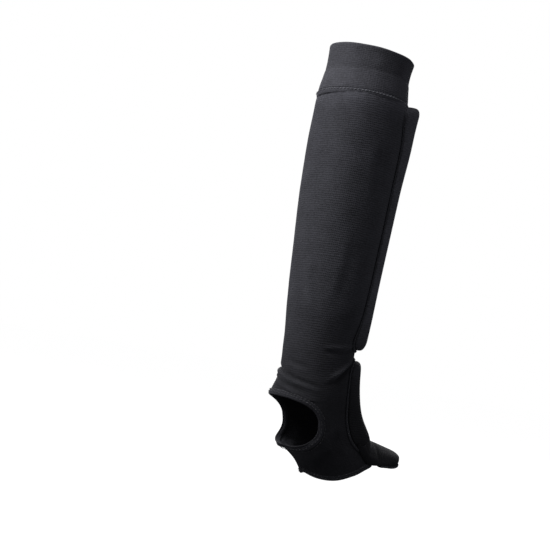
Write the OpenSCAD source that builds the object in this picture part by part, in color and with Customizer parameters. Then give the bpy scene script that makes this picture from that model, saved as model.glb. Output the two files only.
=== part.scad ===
// Slip-on cloth shin and instep guard: a knitted tube that grips the leg, with a foam pad sewn over
// the shin, a second over the instep, a padded flap over the toes, an open heel and a stirrup band.
// Origin at the centre of the cuff's mouth. +Z runs up the shin, +Y points to the toes.
// Depths are measured down from the cuff's mouth, so a point at depth d has z = -d.
// Angles run round the leg from the front (0), past the side at +X (90), to the back (180).

/* [Cuff] */
// Inner radius of the cuff, where the leg goes in
cuff_r = 43; // [39:1:47]
// Height of the cuff
cuff_h = 52; // [44:1:56]
// Thickness of one ply of the cuff's rib knit
cuff_ply = 1.2; // [0.8:0.1:1.4]
// Thickness of the elastic tape between the two plies
tape_t = 0.8; // [0.5:0.1:1]
// Height of the elastic tape
tape_h = 30; // [20:1:38]
// Radius of the rolled seam that joins cuff and sleeve
roll_r = 2.2; // [1.6:0.1:2.4]

/* [Sleeve] */
// Thickness of the knitted sleeve
knit_t = 1.5; // [1:0.1:2]
// Depth at which the calf part of the sleeve ends and the bending ankle part begins
calf_end = 312; // [306:1:314]
// Depth at which the foot part of the sleeve begins
foot_start = 345; // [343:1:350]
// Radius of the turned hems
hem_r = 1.7; // [1.2:0.1:2]
// Radius of a row of sewing thread
thread_r = 0.6; // [0.4:0.1:0.8]

/* [Heel opening] */
// Depth of the opening's top edge
heel_top = 382; // [376:1:384]
// Depth of the opening's bottom edge
heel_bottom = 429; // [426:1:436]
// Angle from the front at which the sleeve ends beside the heel
heel_edge = 98; // [88:1:110]

/* [Pads] */
// Thickness of the closed-cell foam
foam_t = 8.5; // [6:0.5:10]
// Thickness of the cloth that covers the foam
cover_t = 1.2; // [0.8:0.1:1.6]
// Depth of the shin pad's top edge
shin_top = 61; // [61:1:70]
// Depth of the shin pad's bottom edge
shin_bottom = 319; // [300:1:320]
// Half of the shin pad's width at its top, measured round the leg
shin_half_top = 50; // [40:1:54]
// Half of the shin pad's width at its bottom, measured round the leg
shin_half_bottom = 40; // [32:1:44]
// Radius of the pads' corners
pad_corner = 14; // [8:1:20]
// Depth of the instep pad's top edge
instep_top = 337; // [336:1:344]
// Depth of the instep pad's bottom edge, at its middle
instep_bottom = 417; // [404:1:418]
// Half of the instep pad's width at its top, measured round the ankle
instep_half_top = 31; // [26:1:36]
// Half of the instep pad's width at its bottom, measured round the foot
instep_half_bottom = 36; // [28:1:40]

/* [Toe flap] */
// Length of the flap from its crease to its tip
flap_length = 48; // [40:1:56]
// Half of the flap's width
flap_half_w = 35; // [28:1:38]
// Slope of the flap below the level, in degrees
flap_slope = 17; // [12:1:26]
// How far the flap's sides curl down
flap_arch = 11; // [5:1:13]

/* [Hidden] */

gap = 0.2;                      // between layers of cloth and foam that lie on each other
flats = 0.5;                    // room for the flats of the curved surfaces under pads and threads
girth = cuff_r / 43;            // every width follows the cuff
body_colour = "#3a3a40";
pad_colour = "#34343a";
hem_colour = "#2c2c31";
thread_colour = "#5a5a62";
foam_colour = "#8a8d92";
tape_colour = "#d8d8d6";

// The worn leg inside the sleeve: depth, reach to the front, reach to the back, half of the width.
LEG = [
    [50, 46, -43, 43], [62, 49, -46, 45.5], [92, 49.5, -49, 48], [145, 45, -49, 47.5],
    [197, 41.5, -47, 46], [283, 36, -42, 41.5], [310, 34, -40, 38], [328, 33, -39, 36.5],
    [357, 35, -39, 36], [381, 40.5, -47, 36], [398, 48, -58, 36], [414, 60, -60, 35.5],
    [426, 70, -48, 35], [436, 78, -22, 34], [450, 86, -2, 33], [470, 92, 12, 32]
];
// The foot opening's edge: angle from the front, depth.
FOOT_EDGE = [[0, 439], [60, 446], [90, 454], [120, 461], [150, 462], [180, 459]];
fullness = 0.016;               // of the leg's oval: 0 is an ellipse, more is squarer

// ---- curves ----

function mix(a, b, t) = a + (b - a) * t;
function clamp(x, low, high) = min(max(x, low), high);
function span_of(table, x) = clamp(len([for (r = table) if (r[0] <= x) 1]) - 1, 0, len(table) - 2);
function slope_at(table, i, c) =
    let (a = max(i - 1, 0), b = min(i + 1, len(table) - 1))
    (table[b][c] - table[a][c]) / (table[b][0] - table[a][0]);
// Column c of a table at x, on a smooth curve through its rows.
function smooth(table, x, c) =
    let (i = span_of(table, x), w = table[i + 1][0] - table[i][0], t = (x - table[i][0]) / w)
    let (s = t * t * (3 - 2 * t), r = t * (1 - t) * (1 - t), q = t * t * (t - 1))
    mix(table[i][c], table[i + 1][c], s) + w * (r * slope_at(table, i, c) + q * slope_at(table, i + 1, c));

// ---- the worn leg's surface ----

function side_share(a) = (sin(a) + fullness * sin(3 * a)) / (1 - fullness);
function front_share(a) = (cos(a) - fullness * cos(3 * a)) / (1 - fullness);
function on_leg(a, d) =
    let (front = smooth(LEG, d, 1), back = smooth(LEG, d, 2), half_w = smooth(LEG, d, 3))
    [girth * half_w * side_share(a), girth * mix(back, front, (1 + front_share(a)) / 2), -d];
function unit(v) = v / norm(v);
// Outward direction at a point of the leg.
function outward(a, d) = unit(cross(on_leg(a + 2, d) - on_leg(a - 2, d), on_leg(a, d + 1) - on_leg(a, d - 1)));
// A point at height h above the leg.
function above(a, d, h) = on_leg(a, d) + h * outward(a, d);

// Heights of the layers over the leg.
sleeve_out = knit_t;
foam_in = sleeve_out + gap + flats;
foam_out = foam_in + foam_t;
cover_in = foam_out + gap;
cover_out = cover_in + cover_t;

// ---- sheets, pads and cords as closed solids ----

function around(n) = [for (i = [0:n - 1]) 360 * i / n];

// Two triangles of a quad whose corners are given clockwise, seen from outside.
function quad(a, b, c, d) = [[a, b, c], [a, c, d]];

// A sheet between an outer and an inner grid of points, grid[j][i]. It closes round i, and has a
// cell only where open[j] is false or i < closed_to.
module sheet(outer, inner, open_rows, closed_to) {
    rows = len(outer);
    columns = len(outer[0]);
    total = rows * columns;
    function at(i, j, layer) = layer * total + j * columns + (i % columns);
    function has(i, j) = j >= 0 && j < rows - 1 && (!open_rows[j] || i < closed_to);
    cells = [for (j = [0:rows - 2], i = [0:columns - 1]) if (has(i, j)) [i, j]];
    faces = [
        for (c = cells) let (i = c[0], j = c[1]) each concat(
            quad(at(i, j, 0), at(i, j + 1, 0), at(i + 1, j + 1, 0), at(i + 1, j, 0)),
            quad(at(i, j, 1), at(i + 1, j, 1), at(i + 1, j + 1, 1), at(i, j + 1, 1)),
            has(i, j - 1) ? [] : quad(at(i, j, 0), at(i + 1, j, 0), at(i + 1, j, 1), at(i, j, 1)),
            has(i, j + 1) ? [] : quad(
                at(i, j + 1, 0), at(i, j + 1, 1), at(i + 1, j + 1, 1), at(i + 1, j + 1, 0)),
            has((i + columns - 1) % columns, j) ? [] : quad(
                at(i, j, 0), at(i, j, 1), at(i, j + 1, 1), at(i, j + 1, 0)),
            has((i + 1) % columns, j) ? [] : quad(
                at(i + 1, j, 0), at(i + 1, j + 1, 0), at(i + 1, j + 1, 1), at(i + 1, j, 1)))
    ];
    polyhedron(points = concat([for (r = outer) each r], [for (r = inner) each r]), faces = faces);
}

// A closed cord of radius r along points, with side directions across[i] square to its run.
module loop_cord(points, across, r, sides = 6) {
    n = len(points);
    function run(i) = unit(points[(i + 1) % n] - points[(i + n - 1) % n]);
    ring_points = [
        for (i = [0:n - 1]) let (u = unit(across[i]), v = cross(run(i), u), w = unit(cross(v, run(i))))
            for (k = [0:sides - 1]) points[i] + r * (cos(360 * k / sides) * w + sin(360 * k / sides) * unit(v))
    ];
    function at(i, k) = (i % n) * sides + (k % sides);
    faces = [
        for (i = [0:n - 1], k = [0:sides - 1])
            each quad(at(i, k), at(i + 1, k), at(i + 1, k + 1), at(i, k + 1))
    ];
    polyhedron(points = ring_points, faces = faces);
}

// ---- pads, sewn to the leg's sleeve or to the toe flap ----

// Distances from a pad's middle to its rows or columns, closer together near its edges.
function marks(half, corner, inner) =
    let (ends = [for (t = [0, 30, 60, 90]) half - corner * (1 - cos(t))], reach = half - corner)
    concat([for (e = ends) -e], [for (i = [1:inner]) reach * (2 * i / (inner + 1) - 1)],
        [for (k = [3:-1:0]) ends[k]]);
// Half of the width, as a share, left by rounded corners at a distance y from the middle.
function corner_share(y, half_w, half_h, corner) =
    let (past = clamp((abs(y) - half_h + corner) / corner, 0, 1))
    1 - corner / half_w * (1 - sqrt(1 - past * past));
// Share of the full thickness near an edge, rounded over a width of rim.
rim = 7;
edge_share = 0.4;
function thick_share(inside) = mix(edge_share, 1, sqrt(1 - pow(1 - clamp(inside / rim, 0, 1), 2)));

// [top, bottom, half width at the top, half width at the bottom, drop of the bottom corners]
SHIN = [shin_top, shin_bottom, shin_half_top, shin_half_bottom, 0];
INSTEP = [instep_top, instep_bottom, instep_half_top, instep_half_bottom, 15];
function half_length(pad) = (pad[1] - pad[0]) / 2;

// A point of a pad x across and y down from its middle, its outline grown by gx and gy, at height h.
function on_pad(pad, x, y, gx, gy, h) =
    let (long = half_length(pad), down = (1 + y / long) / 2, wide = mix(pad[2], pad[3], down))
    let (reach = (wide + gx) * corner_share(y, wide, long, pad_corner), u = x / wide)
    let (d = (pad[0] + pad[1]) / 2 + y * (1 + gy / long) + pad[4] * down * u * u)
    let (turn = reach / (smooth(LEG, d, 3) * girth) * 180 / PI)
    above(turn * u, d, h);

// Marks with a mark for the foot of the side wall added at each end: [distance, growth].
flare = 0.4;
function edged(list, foot) = foot == undef ? [for (x = list) [x, 0]] : concat(
    [[list[0], flare]], [for (x = list) [x, 0]], [[list[len(list) - 1], flare]]);
// A grid of points over a pad, grown by g: height low at its foot, up to low + thick at its middle.
// With a foot, the sides run down to that height.
function pad_grid(pad, g, low, thick, foot) =
    let (long = half_length(pad), shares = edged(marks(1, rim / pad[2], 9), foot))
    [for (row = edged(marks(long, pad_corner, round(4 + long / 20)), foot)) [
        for (column = shares)
            let (y = row[0], u = column[0], wide = mix(pad[2], pad[3], (1 + y / long) / 2))
            let (h = low + thick * thick_share(min(wide * (1 - abs(u)), long - abs(y))))
            on_pad(pad, u * wide, y, g + column[1], g + row[1], row[1] + column[1] > 0 ? foot : h)
    ]];
function closed_rows(grid) = [for (row = grid) true];
module patch(outer, inner) {
    sheet(outer, inner, closed_rows(outer), len(outer[0]) - 1);
}

module foam_pad(pad) {
    patch(pad_grid(pad, 0, foam_in, foam_t), pad_grid(pad, 0, foam_in, 0));
}

// The cover goes over the foam and down its sides to the sleeve.
module pad_cover(pad) {
    patch(pad_grid(pad, gap + cover_t, foam_in + gap + cover_t, foam_t, foam_in),
        pad_grid(pad, gap, foam_in + gap, foam_t, foam_in));
}

// Once round a pad's outline: the side columns down and up, the top and bottom rows across.
function edge_walk(grid) =
    let (rows = len(grid), last = len(grid[0]) - 1)
    concat(grid[0], [for (j = [1:rows - 2]) grid[j][last]],
        [for (i = [last:-1:0]) grid[rows - 1][i]], [for (j = [rows - 2:-1:1]) grid[j][0]]);

// One row of thread on the sleeve, just outside the cover's edge.
module pad_stitching(pad) {
    g = gap + cover_t + flare + thread_r + 3.2 * flats;
    h = sleeve_out + flats + thread_r;
    points = edge_walk(pad_grid(pad, g, h, 0));
    higher = edge_walk(pad_grid(pad, g, h + 5, 0));
    loop_cord(points, higher - points, thread_r, 5);
}

// ---- cuff ----

cuff_out = cuff_r + 2 * cuff_ply + tape_t + 2 * gap;

module cuff_band() {
    fold_r = (cuff_out - cuff_r) / 2;
    color(body_colour) rotate_extrude($fn = 96) {
        translate([cuff_r, -cuff_h]) square([cuff_ply, cuff_h]);
        translate([cuff_out - cuff_ply, -cuff_h]) square([cuff_ply, cuff_h]);
        translate([cuff_r + fold_r, 0]) difference() {
            circle(fold_r, $fn = 48);
            circle(fold_r - cuff_ply, $fn = 48);
            translate([-2 * fold_r, -4 * fold_r]) square(4 * fold_r);
        }
    }
}

module cuff_elastic() {
    tape_r = cuff_r + cuff_ply + gap;
    color(tape_colour) rotate_extrude($fn = 96)
        translate([tape_r, -(cuff_h + tape_h) / 2]) square([tape_t, tape_h]);
}

// The sleeve's top edge, rolled and overlocked round the cuff's lower edge.
module cuff_seam_roll() {
    color(hem_colour) rotate_extrude($fn = 96)
        translate([cuff_out, -cuff_h - roll_r - gap]) circle(roll_r, $fn = 32);
}

module cuff_seam_thread() {
    color(thread_colour) rotate_extrude($fn = 96)
        translate([cuff_out + thread_r + gap, -cuff_h + thread_r]) circle(thread_r, $fn = 24);
}

// ---- sleeve ----

SLEEVE_STEPS = 36;
function ring(d, h) = [for (a = around(SLEEVE_STEPS)) above(a, d, h)];
module tube(depths) {
    closed = [for (d = depths) false];
    sheet([for (d = depths) ring(d, sleeve_out)], [for (d = depths) ring(d, 0)], closed, 0);
}

calf_start = cuff_h + 2 * roll_r + 3 * gap + flats;
module calf_sleeve() {
    color(body_colour) tube([calf_start, 66, 78, 100, 140, 190, 240, 285, calf_end - gap]);
}

// The part of the sleeve that stretches and folds as the ankle bends.
module ankle_knit() {
    color(body_colour) tube([calf_end, 320, 328, 337, foot_start - gap]);
}

// The heel opening's edge: depth at share t from -1 (top) to 1, and the angle from the front there.
heel_power = 2.5;                 // how square the opening's corners are
heel_reach = 0.985;             // how near to its very top and bottom the opening's sides are cut
function heel_depth(t) = mix(heel_top, heel_bottom, (1 + t) / 2);
function heel_angle(t) = 180 - (180 - heel_edge) * pow(1 - pow(abs(t), heel_power), 1 / heel_power);
heel_shares = [for (k = [0:8]) heel_reach * sin(-90 + 180 * k / 8)];

// Each row of the foot's sleeve: depth at the sides, angle where its back columns begin.
FRONT_COLUMNS = 28;
BACK_COLUMNS = 6;
back_angle = heel_angle(heel_reach);
function foot_row_angles(edge) = concat(
    [for (i = [0:FRONT_COLUMNS]) mix(-edge, edge, i / FRONT_COLUMNS)],
    [for (i = [1:BACK_COLUMNS - 1]) mix(edge, 360 - edge, i / BACK_COLUMNS)]);
function wrap(a) = a > 180 ? 360 - a : abs(a);
function foot_edge(a) = smooth(FOOT_EDGE, wrap(a), 1);
// Below the heel opening the rows spread down to the foot opening's edge.
function foot_row(edge, d, share, h) = [
    for (a = foot_row_angles(edge)) above(a, mix(d, foot_edge(a) - hem_r - gap, share), h)
];
function foot_grid(h) = concat(
    [for (d = [foot_start, 352, 360, 368]) foot_row(back_angle, d, 0, h)],
    [for (t = heel_shares) foot_row(heel_angle(t), heel_depth(t), max(0, t) * max(0, t) * heel_spread, h)],
    [for (s = [1 / 3, 2 / 3, 1]) foot_row(back_angle, heel_depth(heel_reach), mix(heel_spread, 1, s), h)]);
heel_spread = 0.12;             // how far the opening's lower rows already follow the foot edge

module foot_sleeve() {
    open_rows = [for (j = [0:len(foot_grid(0)) - 1]) j >= 4 && j < 4 + len(heel_shares) - 1];
    color(body_colour) sheet(foot_grid(sleeve_out), foot_grid(0), open_rows, FRONT_COLUMNS);
}

// ---- hems ----

// Points just inside the heel opening, clockwise from its top, at height h and inset g.
HEEL_STEPS = 48;
function heel_point(phi, g, h) =
    let (t = -cos(phi), side = sign(sin(phi)) * pow(abs(sin(phi)), 2 / heel_power))
    let (tt = sign(t) * pow(abs(t), 2 / heel_power) * heel_reach)
    let (d = heel_depth(tt) - g * tt, spread = max(0, tt) * max(0, tt) * heel_spread)
    let (a = 180 - (180 - heel_edge - g * 1.2) * side)
    above(a, mix(d, foot_edge(a) - hem_r - gap, spread), h);

module heel_hem() {
    steps = around(HEEL_STEPS);
    points = [for (phi = steps) heel_point(phi, hem_r + 2 * gap, sleeve_out / 2)];
    across = [for (phi = steps) heel_point(phi, hem_r + 2 * gap, 5) - heel_point(phi, hem_r + 2 * gap, 0)];
    color(hem_colour) loop_cord(points, across, hem_r);
}

module heel_hem_stitching() {
    steps = around(HEEL_STEPS);
    out = -2.5;
    h = sleeve_out + 2 * flats + thread_r;
    points = [for (phi = steps) heel_point(phi, out, h)];
    across = [for (phi = steps) heel_point(phi, out, h + 5) - heel_point(phi, out, h)];
    color(thread_colour) loop_cord(points, across, thread_r, 5);
}

FOOT_STEPS = 40;
module foot_edge_cord(rise, h, r, sides) {
    steps = around(FOOT_STEPS);
    points = [for (a = steps) above(a, foot_edge(a) - rise, h)];
    across = [for (a = steps) above(a, foot_edge(a) - rise, h + 5) - above(a, foot_edge(a) - rise, h)];
    loop_cord(points, across, r, sides);
}

module foot_hem() {
    color(hem_colour) foot_edge_cord(0, sleeve_out / 2, hem_r, 6);
}

module foot_hem_stitching() {
    color(thread_colour) foot_edge_cord(hem_r + 3, sleeve_out + flats + thread_r, thread_r, 5);
}

// ---- toe flap ----

// The crease, on the leg's surface at the front, where the flap leaves the instep.
crease_depth = 424;
crease = [0, girth * smooth(LEG, crease_depth, 1), -crease_depth];
flap_run = [0, cos(flap_slope), -sin(flap_slope)];
flap_up = [0, sin(flap_slope), cos(flap_slope)];
// A point of the flap x across and y along from its middle, grown by gx and gy, at height h.
flap_start = 5;                 // from the crease to the flap's root, so it can bend
flap_long = (flap_length - flap_start) / 2;
function on_flap(x, y, gx, gy, h) =
    let (reach = (flap_half_w + gx) * flap_width(y) / flap_half_w, u = x / flap_half_w)
    let (along = flap_start + flap_long + y * (1 + gy / flap_long) - 3 * u * u * (y / flap_long))
    crease + [reach * u, 0, 0] + along * flap_run + (h - flap_arch * pow(reach * u / flap_half_w, 2)) * flap_up;
// Half of the flap's width: widest near its root, round at its tip.
function flap_width(y) =
    let (t = clamp(y / flap_long, -1, 1), past = clamp((t + 0.1) / 1.1, 0, 1), root = clamp(-t * 4 - 3, 0, 1))
    flap_half_w * (0.35 + 0.65 * sqrt(1 - past * past)) * (1 - 0.08 * root * root);
function flap_grid(g, low, thick, foot) =
    [for (row = edged(marks(flap_long, rim, 4), foot)) [
        for (column = edged(marks(1, rim / flap_half_w, 5), foot))
            let (y = row[0], u = column[0])
            let (h = low + thick * thick_share(min(flap_width(y) * (1 - abs(u)), flap_long - abs(y))))
            on_flap(u * flap_half_w, y, g + column[1], g + row[1], row[1] + column[1] > 0 ? foot : h)
    ]];
flap_in = foam_in + 0.6;        // the foam's underside, on its lining

module toe_flap_foam() {
    color(foam_colour) patch(flap_grid(-2, flap_in, foam_t), flap_grid(-2, flap_in, 0));
}

module toe_flap_cover() {
    color(pad_colour) patch(flap_grid(gap + cover_t - 2, flap_in + gap + cover_t, foam_t, flap_in),
        flap_grid(gap - 2, flap_in + gap, foam_t, flap_in));
}

module toe_flap_lining() {
    g = gap + cover_t - 2;
    // Sewing presses its edges thinner than its middle.
    top = flap_in - gap;
    color(body_colour) patch(flap_grid(g, top, 0), flap_grid(g - 0.5, top - 0.6, 0.6 - cover_t));
}

module toe_flap_stitching() {
    g = gap + cover_t + flare - 2 + gap + thread_r;
    points = edge_walk(flap_grid(g, flap_in - 0.6, 0));
    higher = edge_walk(flap_grid(g, flap_in + 4.4, 0));
    color(thread_colour) loop_cord(points, higher - points, thread_r, 5);
}

module shin_foam() {
    color(foam_colour) foam_pad(SHIN);
}

module shin_pad_cover() {
    color(pad_colour) pad_cover(SHIN);
}

module shin_pad_stitching() {
    color(thread_colour) pad_stitching(SHIN);
}

module instep_foam() {
    color(foam_colour) foam_pad(INSTEP);
}

module instep_pad_cover() {
    color(pad_colour) pad_cover(INSTEP);
}

module instep_pad_stitching() {
    color(thread_colour) pad_stitching(INSTEP);
}

cuff_band();
cuff_elastic();
cuff_seam_roll();
cuff_seam_thread();
calf_sleeve();
shin_foam();
shin_pad_cover();
shin_pad_stitching();
ankle_knit();
foot_sleeve();
heel_hem();
heel_hem_stitching();
foot_hem();
foot_hem_stitching();
instep_foam();
instep_pad_cover();
instep_pad_stitching();
toe_flap_foam();
toe_flap_cover();
toe_flap_lining();
toe_flap_stitching();
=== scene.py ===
"""Looks for a slip-on knitted shin and instep guard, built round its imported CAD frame.

Lengths in the classes are in millimetres, and become metres where a mesh is made. A place on the
guard is an angle round the leg, from the front (0) past +X (90) to the back (180), a depth below
the cuff's mouth, and a height above the skin.
"""

import logging
import math
from dataclasses import dataclass
from enum import Enum
from typing import Callable

import bpy
import numpy as np
from mathutils import Matrix, Vector, noise


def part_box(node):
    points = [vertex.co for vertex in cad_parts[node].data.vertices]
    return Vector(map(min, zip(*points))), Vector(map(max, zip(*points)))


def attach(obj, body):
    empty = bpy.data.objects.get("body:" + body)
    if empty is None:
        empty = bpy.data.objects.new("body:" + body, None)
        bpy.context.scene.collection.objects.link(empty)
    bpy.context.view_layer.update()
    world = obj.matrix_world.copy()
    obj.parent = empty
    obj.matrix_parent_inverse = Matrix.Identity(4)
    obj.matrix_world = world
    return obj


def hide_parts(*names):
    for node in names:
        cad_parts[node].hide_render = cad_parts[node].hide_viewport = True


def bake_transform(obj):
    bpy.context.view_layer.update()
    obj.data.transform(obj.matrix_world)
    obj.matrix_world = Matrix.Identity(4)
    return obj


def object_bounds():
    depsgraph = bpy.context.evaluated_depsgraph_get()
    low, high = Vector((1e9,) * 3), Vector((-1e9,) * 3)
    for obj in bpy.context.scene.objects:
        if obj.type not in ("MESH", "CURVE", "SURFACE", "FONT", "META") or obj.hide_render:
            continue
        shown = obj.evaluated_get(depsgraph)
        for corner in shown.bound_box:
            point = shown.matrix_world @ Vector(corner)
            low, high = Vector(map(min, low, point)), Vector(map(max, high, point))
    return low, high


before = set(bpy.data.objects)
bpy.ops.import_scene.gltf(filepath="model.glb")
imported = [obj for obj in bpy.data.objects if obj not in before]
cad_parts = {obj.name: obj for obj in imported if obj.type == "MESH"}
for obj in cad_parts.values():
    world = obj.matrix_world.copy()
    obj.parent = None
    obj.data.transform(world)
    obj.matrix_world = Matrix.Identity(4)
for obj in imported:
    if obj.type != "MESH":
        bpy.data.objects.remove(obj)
CAD_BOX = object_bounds()

LOG = logging.getLogger("guard")
MM = 0.001
Grid = np.ndarray


class Body(str, Enum):
    """The bodies of the frame that a piece can ride on."""

    SHIN = "shin"
    FOOT = "foot"
    TOE_FLAP = "toe_flap"


# ---------------------------------------------------------------- small maths


def clamp(x: Grid, low: float = 0.0, high: float = 1.0) -> Grid:
    """x held between low and high."""
    return np.clip(x, low, high)


def ease(x: Grid) -> Grid:
    """A smooth step from 0 to 1 as x goes from 0 to 1."""
    t = clamp(x)
    return t * t * (3 - 2 * t)


def unit(v: Grid) -> Grid:
    """v scaled to length 1 along its last axis."""
    return v / np.maximum(np.linalg.norm(v, axis=-1, keepdims=True), 1e-12)


def mottle(points: Grid, size: float, seed: float = 0.0) -> Grid:
    """Smooth noise at points, from -1 to 1.

    Args:
        points: places in millimetres, with 3 on the last axis.
        size: width of one bump in millimetres.
        seed: moves the pattern.

    Returns:
        One value per place.
    """
    flat = np.asarray(points, float).reshape(-1, 3) / size + seed
    values = [noise.noise(Vector(p)) for p in flat]
    return np.array(values).reshape(np.shape(points)[:-1])


def smooth_through(table: Grid, x: Grid, column: int) -> Grid:
    """A column of a table at x, on a smooth curve through its rows.

    Args:
        table: rows whose first column grows.
        x: where to read the column.
        column: which column.

    Returns:
        The column's value for each x.
    """
    keys, values = table[:, 0], table[:, column]
    i = clamp(np.searchsorted(keys, x, side="right") - 1, 0, len(keys) - 2).astype(int)
    number, last = np.arange(len(keys)), len(keys) - 1
    before, after = np.maximum(number - 1, 0), np.minimum(number + 1, last)
    slope = (values[after] - values[before]) / (keys[after] - keys[before])
    width = keys[i + 1] - keys[i]
    t = (x - keys[i]) / width
    rise = t * t * (3 - 2 * t)
    lift = slope[i] * t * (1 - t) ** 2 + slope[i + 1] * t * t * (t - 1)
    return values[i] * (1 - rise) + values[i + 1] * rise + width * lift


@dataclass(frozen=True)
class Ripple:
    """Uneven waves in cloth: their height, the width of one wave, and what moves the pattern."""

    height: float
    size: float
    seed: float

    def at(self, points: Grid) -> Grid:
        """Heights of the waves at points, in millimetres."""
        return self.height * mottle(points, self.size, self.seed)


# ---------------------------------------------------------------- the worn leg's form


@dataclass(frozen=True)
class LegForm:
    """The surface that the guard is stretched over: an oval at each depth.

    Each section is (depth, reach to the front, reach to the back, half of the width).
    """

    sections: tuple[tuple[float, float, float, float], ...] = (
        (50, 46, -43, 43), (62, 49, -46, 45.5), (92, 49.5, -49, 48), (145, 45, -49, 47.5),
        (197, 41.5, -47, 46), (283, 36, -42, 41.5), (310, 34, -40, 38), (328, 33, -39, 36.5),
        (357, 35, -39, 36), (381, 40.5, -47, 36), (398, 48, -58, 36), (414, 60, -60, 35.5),
        (426, 70, -48, 35), (436, 78, -22, 34), (450, 86, -2, 33), (470, 92, 12, 32),
    )
    fullness: float = 0.016

    def half_width(self, depth: Grid) -> Grid:
        """Half of the leg's width at a depth."""
        return smooth_through(np.array(self.sections, float), depth, 3)

    def skin(self, angle: Grid, depth: Grid) -> Grid:
        """Points on the skin.

        Args:
            angle: angles round the leg.
            depth: depths below the cuff's mouth.

        Returns:
            One point for each, in millimetres.
        """
        table = np.array(self.sections, float)
        angle, depth = np.broadcast_arrays(np.asarray(angle, float), np.asarray(depth, float))
        front, back, half = (smooth_through(table, depth, k) for k in (1, 2, 3))
        turn = np.radians(angle)
        side = (np.sin(turn) + self.fullness * np.sin(3 * turn)) / (1 - self.fullness)
        ahead = (np.cos(turn) - self.fullness * np.cos(3 * turn)) / (1 - self.fullness)
        return np.stack([half * side, back + (front - back) * (1 + ahead) / 2, -depth], axis=-1)

    def outward(self, angle: Grid, depth: Grid) -> Grid:
        """Directions away from the leg at places on its skin.

        Args:
            angle: angles round the leg.
            depth: depths below the cuff's mouth.

        Returns:
            One direction of length 1 for each.
        """
        angle, depth = np.broadcast_arrays(np.asarray(angle, float), np.asarray(depth, float))
        across = self.skin(angle + 2, depth) - self.skin(angle - 2, depth)
        along = self.skin(angle, depth + 1) - self.skin(angle, depth - 1)
        return unit(np.cross(across, along))

    def above(self, angle: Grid, depth: Grid, height: Grid) -> Grid:
        """Points at a height over the skin, in millimetres."""
        height = np.asarray(height, float)
        return self.skin(angle, depth) + height[..., None] * self.outward(angle, depth)

    def place_of(self, points: Grid) -> Grid:
        """Roughly where on the leg points are.

        Args:
            points: points in millimetres.

        Returns:
            For each, the arc from the front, the depth, and 0.
        """
        table = np.array(self.sections, float)
        depth = clamp(-points[..., 2], table[0, 0], table[-1, 0])
        front, back, half = (smooth_through(table, depth, k) for k in (1, 2, 3))
        middle, reach = (front + back) / 2, (front - back) / 2
        turn = np.arctan2(points[..., 0] / half, (points[..., 1] - middle) / reach)
        return np.stack([turn * (half + reach) / 2, -points[..., 2], 0 * turn], axis=-1)


@dataclass(frozen=True)
class FootOpening:
    """The edge that the forefoot comes out of: (angle from the front, depth)."""

    edge: tuple[tuple[float, float], ...] = (
        (0, 439), (60, 446), (90, 454), (120, 461), (150, 462), (180, 459),
    )

    def depth(self, angle: Grid) -> Grid:
        """Depth of the edge at an angle."""
        turned = np.mod(np.asarray(angle, float), 360)
        return smooth_through(np.array(self.edge, float), np.minimum(turned, 360 - turned), 1)


@dataclass(frozen=True)
class HeelOpening:
    """The hole that the heel stands out of."""

    foot: FootOpening
    top: float = 382
    bottom: float = 429
    side_angle: float = 98
    power: float = 2.5
    cut: float = 0.985
    spread: float = 0.12
    hem_room: float = 1.9

    def angle(self, share: Grid) -> Grid:
        """Angle of the hole's side at a share of its height, from -1 (top) to 1."""
        return 180 - (180 - self.side_angle) * (1 - np.abs(share) ** self.power) ** (1 / self.power)

    def depth(self, share: Grid) -> Grid:
        """Depth at a share of the hole's height."""
        return self.top + (self.bottom - self.top) * (1 + share) / 2

    def spread_depth(self, angle: Grid, depth: Grid, share: Grid) -> Grid:
        """depth, drawn by share towards the foot opening's edge."""
        return depth + (self.foot.depth(angle) - self.hem_room - depth) * share

    def rim(self, steps: int, inset: float) -> tuple[Grid, Grid]:
        """Angles and depths once round the hole.

        Args:
            steps: number of places.
            inset: how far inside the hole they lie; negative is out on the sleeve.

        Returns:
            (angles, depths).
        """
        phi = np.linspace(0, 2 * math.pi, steps, endpoint=False)
        side = np.sign(np.sin(phi)) * np.abs(np.sin(phi)) ** (2 / self.power)
        share = -np.sign(np.cos(phi)) * np.abs(np.cos(phi)) ** (2 / self.power) * self.cut
        angle = 180 - (180 - self.side_angle - inset * 1.6) * side
        depth = self.depth(share) - inset * share
        down = clamp(share) ** 2 * self.spread
        return angle, self.spread_depth(angle, depth, down)


LEG = LegForm()
FOOT_OPENING = FootOpening()
HEEL_OPENING = HeelOpening(FOOT_OPENING)


# ---------------------------------------------------------------- creases in the cloth


@dataclass(frozen=True)
class Crease:
    """A fold pressed into cloth between two places (angle, depth), with a ridge beside it."""

    start: tuple[float, float]
    end: tuple[float, float]
    deep: float
    width: float
    bow: float = 0.0
    ridge: float = 0.7
    fades: tuple[float, float] = (0.3, 0.35)

    def height(self, angle: Grid, depth: Grid, reach: Grid) -> Grid:
        """How much the fold lifts the cloth.

        Args:
            angle: angles from -180 to 180.
            depth: depths.
            reach: half of the leg's width there, which turns angles into lengths.

        Returns:
            Heights in millimetres, negative in the fold.
        """
        start, end = np.array(self.start, float), np.array(self.end, float)
        scale = math.radians(1) * reach
        run = np.stack([(end[0] - start[0]) * scale, 0 * scale + end[1] - start[1]], axis=-1)
        long = np.linalg.norm(run, axis=-1)
        away = np.stack([(angle - start[0]) * scale, depth - start[1]], axis=-1)
        share = (away * run).sum(-1) / long**2
        beside = (away[..., 0] * run[..., 1] - away[..., 1] * run[..., 0]) / long
        beside = beside - self.bow * 4 * clamp(share) * (1 - clamp(share))
        fade = ease(share / self.fades[0]) * ease((1 - share) / self.fades[1])
        fold = np.exp(-((beside / self.width) ** 2))
        bank = np.exp(-(((beside - 1.7 * self.width) / (1.1 * self.width)) ** 2))
        return self.deep * fade * (self.ridge * bank - fold)


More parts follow.
